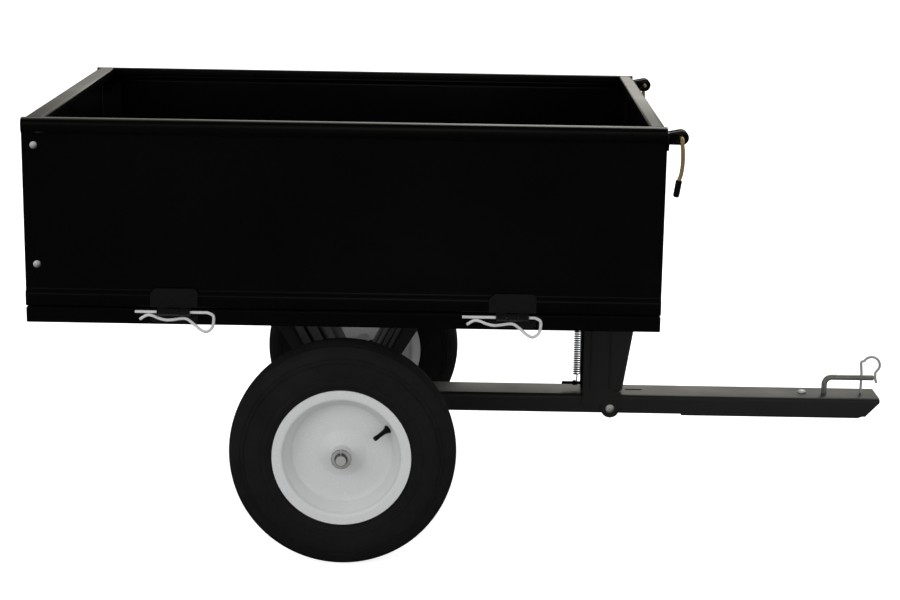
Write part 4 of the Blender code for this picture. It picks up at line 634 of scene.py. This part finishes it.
def rim_profiles():
    """The rolled barrel, the pressed disc and the hub tube, each as a closed section."""
    sheet = 0.0025
    edge = 0.0460 - sheet / 2
    flange = 0.1215
    seat = 0.1060 - sheet / 2
    well = 0.0840 + sheet / 2
    disc = 0.0460 - 0.034
    barrel = [(flange, -edge), (seat, -edge), (seat - 0.002, -edge + 0.016),
              (well, -edge + 0.026), (well, disc - 0.002), (seat - 0.002, edge - 0.008),
              (seat, edge), (flange, edge)]
    plate_path = [(0.0840 + sheet, disc + 0.001), (0.0780, disc + 0.0002), (0.0620, disc),
                  (0.0420, disc + 0.0006), (0.036, disc + 0.003), (0.0160, disc + 0.012)]
    bush_bore = 0.0103 + 0.0022 + GAP
    hub = [(bush_bore, -0.042), (0.0165, -0.042), (0.017, -0.0415), (0.017, 0.0465),
           (0.0165, 0.047), (bush_bore, 0.047)]
    rolled = sheet_outline(barrel, sheet, 0.0045, 6)
    pressed = sheet_outline(plate_path, sheet, 0.006, 6)
    return [rolled, pressed, hub]


def bead(radius, along, size, points=8):
    """The section of a weld bead that runs round an axis."""
    return arc((radius, along), size, 0, 360, points)[:-1]


def make_wheel(label, side):
    body = f"wheel_{label}"
    centre = at(0, side * WHEEL_CENTRE_Y, AXLE_Z)
    way = (0, side, 0)
    tyre = turned(f"tyre_look_{label}", [tyre_profile()], centre, way, 128, 24)
    put(tyre, TYRE, body, [f"tyre_{label}"])
    rim = turned(f"rim_look_{label}", rim_profiles(), centre, way, 112, 28)
    put(rim, RIM_WHITE, body, [f"rim_{label}"])
    wall = Vector((0.0922, 0.0207))
    corner = Vector((0.0862, 0.0134))
    flat = Vector((0.0735, 0.0136))
    fillet = [tuple(wall * (1 - t) ** 2 + corner * 2 * t * (1 - t) + flat * t ** 2)
              for t in [index / 8 for index in range(9)]]
    welds = turned(f"rim_welds_{label}", [bead(0.0172, 0.0232, 0.0022),
                                          fillet + [(0.0875, 0.0120)]], centre, way, 96, 60)
    put(welds, RIM_WHITE, body)
    make_valve(label, side, centre, body)
    bush = [(0.0103, 0.0), (0.0124, 0.0), (0.0124, 0.0893), (0.0152, 0.0893), (0.0160, 0.0899),
            (0.0160, 0.0917), (0.0153, 0.0923), (0.0108, 0.0923), (0.0103, 0.0918)]
    made = turned(f"bush_look_{label}", [bush], centre - Vector((0, side * 0.042, 0)), way, 48)
    put(made, NYLON, body, [f"hub_bush_{label}"])


def make_valve(label, side, centre, body):
    """A rubber snap-in valve with its cap, leaning in from the sloping barrel wall."""
    start = Vector((0.08525, 0.010))
    end = Vector((0.10275, 0.03675))
    spot = start.lerp(end, 0.56)
    slope = (end - start).normalized()
    normal = Vector((-slope.y, slope.x))
    if normal.x > 0:
        normal = -normal
    angle = math.radians(31)
    radial = Vector((math.cos(angle), 0, math.sin(angle)))
    axle = Vector((0, side, 0))
    out = radial * normal.x + axle * normal.y
    seat = centre + radial * spot.x + axle * spot.y + out * 0.00215
    stem = [(0.0, -0.006), (0.0044, -0.006), (0.0044, -0.0004), (0.0076, -0.0002),
            (0.0078, 0.0006), (0.0075, 0.0014), (0.0066, 0.0025), (0.0056, 0.0050),
            (0.0045, 0.0080), (0.0041, 0.0160), (0.0037, 0.0228), (0.0, 0.0230)]
    cap = [(0.0, 0.0232), (0.0039, 0.0232), (0.0043, 0.0238), (0.0043, 0.0290), (0.0041, 0.0310),
           (0.0034, 0.0318), (0.0, 0.0320)]
    made = turned(f"valve_look_{label}", [stem, cap], seat, out, 32, 30)
    put(made, VINYL, body, [f"valve_{label}"])


# Box panels


def panel_path(outer, rail_width, foot_z, foot_flange):
    """A wall's section from its top lip to its foot, as (distance out, height)."""
    inner = SHEET / 2
    face = outer - inner
    wall = outer - RAIL_PROUD - inner
    top = RIM_HEIGHT - inner
    base_top = foot_z + BASE_RAIL_DEPTH
    return [(outer - rail_width + inner, RIM_HEIGHT - RAIL_LIP), (outer - rail_width + inner, top),
            (face, top), (face, RIM_HEIGHT - RAIL_DEPTH),
            (wall, RIM_HEIGHT - RAIL_DEPTH - RAIL_STEP), (wall, base_top + RAIL_STEP),
            (face, base_top), (face, foot_z + inner), (outer - foot_flange, foot_z + inner)]


# The bend radii from lip to foot. The second is the rolled outer edge of the top rail.
PANEL_BENDS = [0.003, 0.0098, 0.0035, 0.004, 0.004, 0.0035, 0.0035]


def eye_outline():
    """A round eye that runs back to the panel, and its hole."""
    eye = arc((AXLE_X + EYE_X, EYE_Z), EYE_RADIUS, -105, 105, 28)
    eye += shifted([(FRONT - 0.001, EYE_Z + EYE_RADIUS * 0.62),
                    (FRONT - 0.001, EYE_Z - EYE_RADIUS * 0.95)])
    return eye, ring((AXLE_X + EYE_X, EYE_Z), CORNER_PIN_RADIUS + 0.0004)


def upright(name, x, near, far, low, high):
    """A plate of sheet that faces along the box, between two distances from its middle."""
    ys = sorted((near, far))
    return block(name, (x - SHEET / 2, ys[0], low), (x + SHEET / 2, ys[1], high))


def make_side(label, side):
    """A side wall with turned ends, closed lower corners and the welded corner eye."""
    foot = FLOOR_Z + GAP
    path = panel_path(SIDE_Y, SIDE_RAIL_WIDTH, foot, SIDE_RAIL_WIDTH)
    path = [(side * y, z) for y, z in path]
    outline = sheet_outline(path, SHEET, PANEL_BENDS, 5)
    pieces = [plate(f"side_{label}", outline, BOX_LENGTH, plane_yz(BOX_X))]
    near = side * (SIDE_INNER_Y + 0.0008)
    for end in (-1, 1):
        x = BOX_X + end * (BOX_HALF - SHEET / 2)
        pieces.append(upright(f"end_{label}_{end}", x, near, side * 0.3768,
                              foot + BASE_RAIL_DEPTH, RIM_HEIGHT - RAIL_DEPTH))
        pieces.append(upright(f"toe_{label}_{end}", x, near, side * 0.3816, foot + SHEET,
                              foot + BASE_RAIL_DEPTH + 0.0002))
    eye, hole = eye_outline()
    pieces.append(plate(f"eye_{label}", eye, EYE_SHEET, plane_xz(side * (SIDE_Y - EYE_INSET)),
                        [hole], EYE_EDGE))
    ys = sorted((side * (SIDE_INNER_Y + 0.001), side * (SIDE_Y - 0.001)))
    pieces.append(block(f"foot_{label}", at(FRONT - 0.0007, ys[0], EYE_Z - 0.0216),
                        at(FRONT + 0.003, ys[1], EYE_Z + 0.0084)))
    put(joined(f"side_look_{label}", pieces), BLACK, "bed",
        [f"side_panel_{label}"])


def make_rear():
    """The rear wall with flanges turned forward inside the side walls."""
    foot = FLOOR_Z + GAP
    path = panel_path(BOX_HALF, REAR_RAIL_WIDTH, foot, REAR_RAIL_WIDTH)
    path = [(BOX_X - x, z) for x, z in path]
    outline = sheet_outline(path, SHEET, PANEL_BENDS, 5)
    pieces = [plate("rear", outline, 2 * (SIDE_INNER_Y - GAP), plane_xz(0))]
    wall = BOX_X - BOX_HALF + RAIL_PROUD + SHEET / 2
    reach = SIDE_Y - RAIL_PROUD - SHEET - GAP - SHEET / 2
    clear = 0.010
    low = foot + BASE_RAIL_DEPTH + clear
    high = RIM_HEIGHT - RAIL_DEPTH - clear
    for side in (-1, 1):
        path = [(wall, side * (SIDE_INNER_Y - 0.004)), (wall, side * reach),
                (wall + CORNER_FLANGE, side * reach)]
        pieces.append(plate(f"rear_flange_{side}", sheet_outline(path, SHEET), high - low,
                            plane_xy((low + high) / 2)))
    put(joined("rear_look", pieces), BLACK, "bed", ["rear_panel"])


def make_gate():
    """The front gate with its two eyes."""
    foot = FLOOR_Z + GAP + GATE_LIFT
    path = panel_path(BOX_HALF, GATE_RAIL_WIDTH, foot, GATE_FOOT_FLANGE)
    path = [(BOX_X + x, z) for x, z in path]
    outline = sheet_outline(path, SHEET, PANEL_BENDS, 5)
    pieces = [plate("gate", outline, GATE_WIDTH, plane_xz(0))]
    eye, hole = eye_outline()
    for side in (-1, 1):
        pieces.append(plate(f"gate_eye_{side}", eye, EYE_SHEET, plane_xz(side * 0.3545), [hole],
                            EYE_EDGE))
    put(joined("gate_look", pieces), BLACK, "front_gate", ["front_gate"])


def make_bolt(name, stands_for, head_at, nut_at, radii, body, share=1.7, tail=0.003,
              nut_finish=None):
    """A carriage bolt with the radii of its shank and domed head, a hexagon nut and a thread."""
    radius, head_radius = radii
    head_at = Vector(head_at)
    nut_at = Vector(nut_at)
    way = (nut_at - head_at).normalized()
    grip = (nut_at - head_at).length
    height = head_radius * 0.62
    dome = [(0.0, -height)]
    for index in range(1, 9):
        angle = math.pi / 2 * index / 8
        dome.append((head_radius * math.sin(angle), -height * math.cos(angle) ** 0.8
                     if index < 8 else -0.0002))
    head = dome + [(head_radius, 0.0), (radius, 0.0), (radius, grip), (0.0, grip)]
    turns = 4
    end = grip + radius * share
    thread = [(0.0, grip), (radius, grip), (radius, end)]
    for index in range(turns):
        step = tail / turns
        thread += [(radius * 0.90, end + step * (index + 0.25)),
                   (radius, end + step * (index + 0.75))]
    thread += [(radius * 0.8, end + tail), (0.0, end + tail)]
    shank = turned(name, [head], head_at, way, 36, 40)
    thread_piece = turned(name + "_thread", [thread], head_at, way, 36, 40)
    nut = [(radius, grip), (radius * 1.78, grip), (radius * 1.92, grip + radius * 0.15),
           (radius * 1.92, grip + radius * (share - 0.2)),
           (radius * 1.78, grip + radius * share), (radius, grip + radius * share)]
    nut_piece = turned(name + "_nut", [nut], head_at, way, 6, 20)
    nut_piece = joined(name + "_nut_look", [nut_piece, thread_piece])
    if nut_finish:
        put(nut_piece, nut_finish, body)
        put(shank, HEAD_ZINC, body, [stands_for])
    else:
        put(joined(name + "_look", [shank, nut_piece]), HEAD_ZINC, body,
            [stands_for])


def make_bolts():
    x = BOX_X - BOX_HALF + CORNER_BOLT_INSET
    outside = SIDE_Y - RAIL_PROUD + GAP
    inside = SIDE_Y - RAIL_PROUD - 2 * SHEET - 2 * GAP
    for label, side in SIDES:
        for level, height in (("lower", FLOOR_Z + CORNER_BOLT_RISE),
                              ("upper", RIM_HEIGHT - CORNER_BOLT_DROP)):
            make_bolt(f"corner_bolt_{label}_{level}", f"rear_corner_bolt_{label}_{level}",
                      (x, side * outside, height), (x, side * inside, height), CORNER_BOLT,
                      "bed", tail=0.001, nut_finish=BLACK)
        for where, sign in (("front", 1), ("rear", -1)):
            spot = sign * (LEG_TOP_X + LEG_BOLT_AHEAD)
            y = side * LEG_BOLT_Y
            make_bolt(f"leg_bolt_{where}_{label}_fine", f"leg_bolt_{where}_{label}",
                      at(spot, y, FLOOR_Z + GAP),
                      at(spot, y, FLOOR_Z - SHEET - 2 * GAP - LEG_SHEET), LEG_BOLT, "bed")
    under = DRAWBAR_TOP - DRAWBAR_HEIGHT - GAP - STRAP_SHEET
    make_bolt("strap_bolt_fine", "strap_bolt", at(BOLT_X, 0, DRAWBAR_TOP + GAP),
              at(BOLT_X, 0, under - GAP), STRAP_BOLT, "chassis", 1.0, 0.001)
    outer = DRAWBAR_WIDTH / 2 + GAP + 0.003 + GAP
    make_bolt("latch_bolt_fine", "latch_pivot_bolt", at(PIVOT_X, -outer, PIVOT_Z),
              at(PIVOT_X, outer, PIVOT_Z), PIVOT_BOLT, "chassis")


# Wires


# The side clip's loop and waved leg, as (distance along, drop below the knuckles).
CLIP_WAVE = (
    (0.1350, 0.0048), (0.1362, 0.0150), (0.1330, 0.0270), (0.1240, 0.0340), (0.1145, 0.0312),
    (0.1035, 0.0222), (0.0910, 0.0125), (0.0820, 0.0110), (0.0700, 0.0128), (0.0560, 0.0142),
    (0.0430, 0.0118), (0.0290, 0.0064), (0.0200, 0.0064), (0.0080, 0.0135),
)


def with_tips(points, radius):
    """Adds close points at both ends, so that the wire's tips can be rounded."""
    first = Vector(points[0])
    last = Vector(points[-1])
    lead = (Vector(points[1]) - first).normalized()
    trail = (last - Vector(points[-2])).normalized()
    head = [first + lead * radius * share for share in (0.0, 0.12, 0.35)]
    tail = [last - trail * radius * share for share in (0.35, 0.12, 0.0)]
    radii = [0.62, 0.84, 0.97] + [1.0] * (len(points) - 2) + [0.97, 0.84, 0.62]
    return head + list(points[1:-1]) + tail, radii


def make_clips():
    for label, side in SIDES:
        for where, x, lead in BRACKETS:
            start = x - lead
            y = side * KNUCKLE_Y
            straight = [at(start, y, KNUCKLE_Z), at(start + CLIP_STRAIGHT, y, KNUCKLE_Z)]
            wave = [at(start + along, y, KNUCKLE_Z - drop) for along, drop in CLIP_WAVE]
            points = [straight[0]] + smooth_path(straight[1:] + wave, 6)
            points, radii = with_tips(points, CLIP_WIRE)
            clip = wire(f"clip_look_{where}_{label}", points, CLIP_WIRE, 4, radii)
            put(clip, BRIGHT_ZINC, f"box_clip_{where}_{label}",
                [f"box_clip_{where}_{label}"])


def make_corner_pins():
    """The bent pins through the eyes, each with a vinyl cap on its end."""
    outer = SIDE_Y + CORNER_PIN_PROUD
    turn = CORNER_PIN_BEND
    for label, side in SIDES:
        path = [(EYE_X, CORNER_PIN_INNER_Y, EYE_Z), (EYE_X, outer - turn, EYE_Z)]
        for u, v in arc((outer - turn, EYE_Z - turn), turn, 90, 0, 10)[1:]:
            path.append((EYE_X, u, v))
        lower = [(EYE_X, outer, EYE_Z - turn)]
        lower += [(EYE_X + ahead, outer, EYE_Z - below) for ahead, below in CORNER_PIN_SET]
        path += [tuple(point) for point in smooth_path(lower, 5)[1:]]
        path = [at(x, side * y, z) for x, y, z in path]
        points, radii = with_tips(path, CORNER_PIN_RADIUS)
        put(wire(f"corner_pin_look_{label}", points, CORNER_PIN_RADIUS, 5, radii), YELLOW,
            f"corner_pin_{label}", [f"corner_pin_{label}"])
        knee, tip = [at(EYE_X + ahead, side * outer, EYE_Z - below)
                     for ahead, below in CORNER_PIN_SET[-2:]]
        bore = CORNER_PIN_RADIUS + GAP
        wall = bore + 0.0016
        cap = [(bore, -0.009), (wall - 0.0003, -0.0093), (wall, -0.0088), (wall + 0.0002, -0.0060),
               (wall, -0.0050), (wall, 0.0160), (wall - 0.0006, 0.0186), (wall - 0.0020, 0.0199),
               (0.0, 0.0200), (0.0, 0.0006), (bore, 0.0006)]
        put(turned(f"cap_look_{label}", [cap], tip, tip - knee, 32), VINYL,
            f"corner_pin_{label}", [f"pin_cap_{label}"])


def make_hitch():
    """The bent pin and its spring clip."""
    turn = PIN_BEND
    foot = DRAWBAR_TOP - DRAWBAR_HEIGHT - GAP - STRAP_SHEET - PIN_BELOW
    path = [at(PIN_X, 0, foot), at(PIN_X, 0, ARM_Z - turn)]
    path += [at(x, 0, z) for x, z in arc((PIN_X + turn, ARM_Z - turn), turn, 180, 90, 12)[1:]]
    path.append(at(ARM_END_X, 0, ARM_Z))
    points, radii = with_tips(path, PIN_RADIUS)
    put(wire("hitch_pin_look", points, PIN_RADIUS, 6, radii), ZINC, "hitch_pin",
        ["hitch_pin"])
    ring_x = HITCH_CLIP_X + HITCH_CLIP_RING + HITCH_CLIP_BOW
    ring_z = HITCH_CLIP_TOP - HITCH_CLIP_RING - HITCH_CLIP_WIRE
    clear = ARM_END_X + GAP + HITCH_CLIP_WIRE
    path = [(HITCH_CLIP_X, DRAWBAR_TOP + HITCH_CLIP_LIFT)]
    path += [(HITCH_CLIP_X + out, ARM_Z + rise) for out, rise in HITCH_CLIP_NECK]
    path += arc((ring_x, ring_z), HITCH_CLIP_RING, 150, -20, 20)
    path += [(clear + out, ARM_Z + rise) for out, rise in HITCH_CLIP_TAIL]
    path = smooth_path([Vector((x, 0, z)) for x, z in path], 3)
    points, radii = with_tips([at(p.x, 0, p.z) for p in path], HITCH_CLIP_WIRE)
    put(wire("hitch_clip_look", points, HITCH_CLIP_WIRE, 4, radii), DULL_ZINC, "hitch_clip",
        ["hitch_clip"])


def spring_path(per_turn=18):
    """The coil with a hook at each end, as one unbroken wire."""
    x = SPRING_X
    radius = SPRING_RADIUS
    pitch = SPRING_PITCH
    foot = SPRING_FOOT_Z
    hook = SPRING_HOOK
    anchor = ANCHOR_Z
    top = foot + SPRING_TURNS * pitch
    pin = top + 2 * hook + 0.006
    low = []
    for degrees in range(-130, 51, 15):
        angle = math.radians(degrees)
        low.append((x, hook * math.cos(angle), anchor + hook * math.sin(angle)))
    low += [(x, 0.0036, foot - 0.0082), (x + 0.0005, 0.0052, foot - 0.0040)]
    coil = []
    for index in range(SPRING_TURNS * per_turn + 1):
        angle = math.pi / 2 + 2 * math.pi * index / per_turn
        coil.append((x + radius * math.cos(angle), radius * math.sin(angle),
                     foot + pitch * index / per_turn))
    high = [(x - 0.0015, 0.0042, top + 0.0030), (x - 0.0030, 0.0, pin - hook - 0.0020)]
    for degrees in range(-140, -321, -15):
        angle = math.radians(degrees)
        high.append((x + hook * math.cos(angle), 0.0, pin + hook * math.sin(angle)))
    return [at(*point) for point in low + coil + high], anchor, pin


def make_spring():
    points, anchor, pin = spring_path()
    spring = wire("spring_look", points, SPRING_WIRE, 3)
    bpy.context.scene.collection.objects.link(spring)
    spring.data.materials.append(STEEL)
    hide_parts("latch_spring")
    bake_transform(spring)


# Chassis


def drill(name, radius, reach, start, direction, steps=32):
    """A cutter for a round hole, which reaches as far behind its start as ahead."""
    return turned(name, [[(0.0, -reach), (radius, -reach), (radius, reach), (0.0, reach)]], start,
                  direction, steps)


def make_drawbar():
    """The channel with rolled edges, a slanted nose and punched holes."""
    inner = 0.0015
    side = DRAWBAR_WIDTH / 2 - inner
    under = DRAWBAR_TOP - DRAWBAR_HEIGHT
    path = [(-side, under), (-side, DRAWBAR_TOP - inner), (side, DRAWBAR_TOP - inner),
            (side, under)]
    outline = sheet_outline(path, 0.003, 0.007, 7)
    length = DRAWBAR_NOSE + DRAWBAR_TAIL
    channel = plate("drawbar_look", outline, length,
                    plane_yz(AXLE_X + (DRAWBAR_NOSE - DRAWBAR_TAIL) / 2))
    bpy.context.scene.collection.objects.link(channel)
    foot = DRAWBAR_NOSE - NOSE_CHAMFER
    wedge = shifted([(foot - 0.010, under - 0.01), (foot, under),
                     (DRAWBAR_NOSE + 0.0001, DRAWBAR_TOP - 0.0075),
                     (DRAWBAR_NOSE + 0.01, DRAWBAR_TOP - 0.0060),
                     (DRAWBAR_NOSE + 0.01, under - 0.01)])
    half = 0.0035
    run = 0.017 - half
    slot = shifted(arc((SLOT_X + run, 0), half, -90, 90, 10)
                   + arc((SLOT_X - run, 0), half, 90, 270, 10))
    cutters = [plate("nose_cut", wedge, 0.1, plane_xz(0), (), 0.0),
               plate("slot_cut", slot, 0.02, plane_xy(DRAWBAR_TOP), (), 0.0),
               drill("axle_cut", 0.0103, 0.06, at(0, 0, AXLE_Z), (0, 1, 0), 40),
               drill("pivot_cut", 0.0063, 0.06, at(PIVOT_X, 0, PIVOT_Z), (0, 1, 0)),
               drill("pin_cut", 0.0060, 0.01, at(PIN_X, 0, DRAWBAR_TOP), (0, 0, 1)),
               drill("bolt_cut", 0.0053, 0.01, at(BOLT_X, 0, DRAWBAR_TOP), (0, 0, 1))]
    for cutter in cutters:
        if cutter.name not in bpy.context.scene.collection.objects:
            bpy.context.scene.collection.objects.link(cutter)
        change = channel.modifiers.new(cutter.name, "BOOLEAN")
        change.operation = "DIFFERENCE"
        change.solver = "EXACT"
        change.object = cutter
    mesh = taken_mesh(channel)
    for cutter in cutters:
        bpy.data.objects.remove(cutter, do_unlink=True)
    channel = bpy.data.objects.new("drawbar_look", smooth(mesh, 30))
    put(channel, SATIN, "chassis", ["drawbar"])


def make_axle_ends():
    """The split pins with bent legs, one through each end of the axle."""
    for label, side in SIDES:
        y = side * (AXLE_END_Y - SPLIT_PIN_INSET)
        radius = 0.00088
        points = []
        for degrees in range(-60, 241, 20):
            angle = math.radians(degrees)
            points.append((0.0, 0.0036 * math.cos(angle), 0.0155 + 0.0036 * math.sin(angle)))
        right = [(0.0, 0.0009, 0.0117), (0.0, 0.0009, -0.0108), (0.0, 0.0022, -0.0142),
                 (0.0, 0.0034, -0.0150)]
        left = [(0.0, -0.0009, 0.0117), (0.0, -0.0009, -0.0108), (0.0, -0.0014, -0.0135),
                (0.0, -0.0020, -0.0150)]
        path = right[::-1] + points + left
        path = [at(x, y + u, AXLE_Z + v) for x, u, v in path]
        put(wire(f"split_pin_look_{label}", smooth_path(path, 3), radius, 3), DULL_ZINC, "chassis",
            [f"split_pin_{label}"])


def dress_nodes():
    """Rounds the edges of the solids that show as they are and gives each its finish."""
    finish = {"body_paint": BLACK, "chassis_paint": SATIN, "zinc_plate": DULL_ZINC,
              "rim_paint": RIM_WHITE, "tyre_rubber": TYRE, "valve_rubber": VINYL,
              "yellow_zinc": YELLOW, "cap_vinyl": VINYL, "bush_nylon": NYLON}
    slots = {row["node"]: row["material_slot"] for row in frame["record"]["subparts"]}
    widths = {"tipping_latch": 0.0009, "axle_leg_front": 0.0012, "axle_leg_rear": 0.0012,
              "bed_tray": 0.0012, "bed_cross_front": 0.0008, "bed_prop": 0.0009,
              "hitch_strap": 0.0008, "axle": 0.0008}
    for name, node in frame["nodes"].items():
        node.data.materials.clear()
        finish_used = finish[slots[name]]
        if name in ("bed_prop", "spring_anchor_bolt"):
            finish_used = MATT
        elif "leaf" in name:
            finish_used = LEAF_BLACK
        elif name == "axle" or name.startswith("axle_washer"):
            finish_used = AXLE_ZINC
        node.data.materials.append(finish_used)
        if node.hide_render:
            continue
        weld = node.modifiers.new("weld", "WELD")
        weld.merge_threshold = 0.00001
        bevel = node.modifiers.new("edges", "BEVEL")
        bevel.width = widths.get(name, 0.0004)
        bevel.segments = 3
        bevel.limit_method = "ANGLE"
        bevel.angle_limit = math.radians(28)
        bevel.harden_normals = True
        bevel.use_clamp_overlap = True
        level = node.modifiers.new("normals", "WEIGHTED_NORMAL")
        level.weight = 100
        level.keep_sharp = True
        node.data.shade_smooth()


def make_welds():
    """Beads where the fixed pieces of the chassis and bed are welded."""
    top = DRAWBAR_TOP + 0.0006
    for side in (-1, 1):
        weld_bead(f"prop_weld_{side}", [at(PROP_X - back, side * 0.0292, top)
                                        for back in (0.044, 0.022, 0.0)], 0.0016, "chassis", SATIN)
        y = side * (LEG_SPAN / 2 + GAP + 0.004 + 0.0008)
        circle = [at(0.0112 * math.cos(angle), y, AXLE_Z + 0.0112 * math.sin(angle))
                  for angle in [math.pi * index / 6 for index in range(13)]]
        weld_bead(f"axle_weld_{side}", circle, 0.0017, "bed", SATIN)


for wheel_label, wheel_side in SIDES:
    make_wheel(wheel_label, wheel_side)
for wall_label, wall_side in SIDES:
    make_side(wall_label, wall_side)
make_rear()
make_gate()
make_bolts()
make_clips()
make_corner_pins()
make_hitch()
make_spring()
make_drawbar()
make_axle_ends()
dress_nodes()
make_welds()


# Stage


def make_floor():
    """A floor that glows white for the camera and looks darker in mirrors."""
    mesh = bpy.data.meshes.new("floor")
    size = 30.0
    mesh.from_pydata([(-size, -size, 0), (size, -size, 0), (size, size, 0), (-size, size, 0)], [],
                     [(0, 1, 2, 3)])
    floor = bpy.data.objects.new("floor", mesh)
    bpy.context.scene.collection.objects.link(floor)
    made = bpy.data.materials.new("floor")
    made.use_nodes = True
    tree = made.node_tree
    tree.nodes.clear()
    output = tree.nodes.new("ShaderNodeOutputMaterial")
    path = tree.nodes.new("ShaderNodeLightPath")
    seen = tree.nodes.new("ShaderNodeMixShader")
    shade = tree.nodes.new("ShaderNodeAddShader")
    glow = tree.nodes.new("ShaderNodeEmission")
    glow.inputs["Color"].default_value = (1.0, 1.0, 1.0, 1.0)
    glow.inputs["Strength"].default_value = 0.80
    plain = tree.nodes.new("ShaderNodeMixShader")
    tree.links.new(glow.outputs[0], shade.inputs[0])
    tree.links.new(path.outputs["Is Glossy Ray"], plain.inputs[0])
    for socket, grey in ((shade.inputs[1], 0.9), (plain.inputs[1], 0.62),
                         (plain.inputs[2], 0.012)):
        diffuse = tree.nodes.new("ShaderNodeBsdfDiffuse")
        diffuse.inputs["Color"].default_value = (grey, grey, grey, 1.0)
        tree.links.new(diffuse.outputs[0], socket)
    tree.links.new(path.outputs["Is Camera Ray"], seen.inputs[0])
    tree.links.new(plain.outputs[0], seen.inputs[1])
    tree.links.new(shade.outputs[0], seen.inputs[2])
    tree.links.new(seen.outputs[0], output.inputs["Surface"])
    mesh.materials.append(made)


# What the paint mirrors from rear to front of the trailer, as (place, brightness).
HORIZON = ((0.10, 0.75), (0.25, 0.36), (0.39, 0.42), (0.50, 0.90), (0.525, 1.0), (0.55, 1.06),
           (0.58, 0.95), (0.61, 0.70), (0.72, 0.50), (0.90, 0.80))


def make_world():
    """A white studio, whose mirror image is bright behind the trailer and dark overhead."""
    world = bpy.data.worlds.new("studio")
    bpy.context.scene.world = world
    world.use_nodes = True
    tree = world.node_tree
    background = tree.nodes["Background"]
    path = tree.nodes.new("ShaderNodeLightPath")
    way = tree.nodes.new("ShaderNodeTexCoord")
    parts = tree.nodes.new("ShaderNodeSeparateXYZ")
    tree.links.new(way.outputs["Generated"], parts.inputs["Vector"])
    ramp = tree.nodes.new("ShaderNodeValToRGB")
    ramp.color_ramp.elements.remove(ramp.color_ramp.elements[1])
    for spot, grey in HORIZON:
        element = ramp.color_ramp.elements.new(spot)
        element.color = (grey, grey * 0.98, grey * 0.88, 1.0)
    ramp.color_ramp.elements.remove(ramp.color_ramp.elements[0])
    tree.links.new(remap(tree, parts.outputs["X"], -1.0, 1.0, 0.0, 1.0), ramp.inputs["Fac"])
    high = remap(tree, parts.outputs["Z"], 0.76, 0.97, 1.0, 0.04)
    behind = remap(tree, parts.outputs["Y"], -0.05, 0.25, 0.04, 1.0)
    ahead = remap(tree, parts.outputs["Y"], -0.15, -0.50, 0.0, 0.22)
    low = remap(tree, parts.outputs["Z"], 0.45, 0.30, 0.0, 1.0)
    lit = computed(tree, "MAXIMUM", computed(tree, "MULTIPLY", behind, high),
                   computed(tree, "MULTIPLY", ahead, low))
    gleam = mixed(tree, lit, (0.0, 0.0, 0.0), ramp.outputs["Color"])
    soft = mixed(tree, path.outputs["Is Diffuse Ray"], gleam, (0.74, 0.74, 0.74))
    seen = mixed(tree, path.outputs["Is Camera Ray"], soft, (1.0, 1.0, 1.0))
    tree.links.new(seen, background.inputs["Color"])
    background.inputs["Strength"].default_value = 1.0


def make_lamp(name, place, target, size, power, mirrored):
    data = bpy.data.lights.new(name, "AREA")
    data.shape = "RECTANGLE"
    data.size = size[0]
    data.size_y = size[1]
    data.energy = power
    lamp = bpy.data.objects.new(name, data)
    lamp.location = place
    lamp.visible_glossy = mirrored
    lamp.rotation_mode = "QUATERNION"
    lamp.rotation_quaternion = (Vector(target) - Vector(place)).to_track_quat("-Z", "Y")
    bpy.context.scene.collection.objects.link(lamp)
    return lamp


CAMERA_PLACE = (0.1955, -3.7915, 1.2683)
CAMERA_FOCAL_PIXELS = 2024.7
PICTURE_WIDTH = 900
SENSOR_WIDTH = 36.0


def make_camera():
    """The camera at the photo's angle, with its turns in radians."""
    pitch = 0.2283
    yaw = -0.0032
    roll = -0.0158
    forward = Vector((math.sin(yaw) * math.cos(pitch), math.cos(yaw) * math.cos(pitch),
                      -math.sin(pitch)))
    level = Vector((math.cos(yaw), -math.sin(yaw), 0))
    below = forward.cross(level)
    right = level * math.cos(roll) + below * math.sin(roll)
    down = below * math.cos(roll) - level * math.sin(roll)
    data = bpy.data.cameras.new("camera")
    data.sensor_fit = "HORIZONTAL"
    data.sensor_width = SENSOR_WIDTH
    data.lens = CAMERA_FOCAL_PIXELS / PICTURE_WIDTH * SENSOR_WIDTH
    data.dof.use_dof = False
    data.clip_end = 200.0
    camera = bpy.data.objects.new("camera", data)
    turn = Matrix((right, -down, -forward)).transposed().to_4x4()
    camera.matrix_world = Matrix.Translation(at(*CAMERA_PLACE)) @ turn
    bpy.context.scene.collection.objects.link(camera)
    bpy.context.scene.camera = camera


make_floor()
make_world()
make_lamp("key", (-2.2, -3.4, 1.9), (0, 0, 0.3), (2.6, 2.0), 46.0, False)
make_lamp("fill", (1.6, -3.6, 1.2), (0, 0, 0.3), (2.0, 1.6), 16.0, False)
make_lamp("back", (1.2, 2.4, 3.6), (0, 0, 0.5), (2.6, 1.2), 18.0, True)
make_camera()
bpy.context.scene.view_settings.view_transform = "Standard"
bpy.context.scene.view_settings.look = "None"
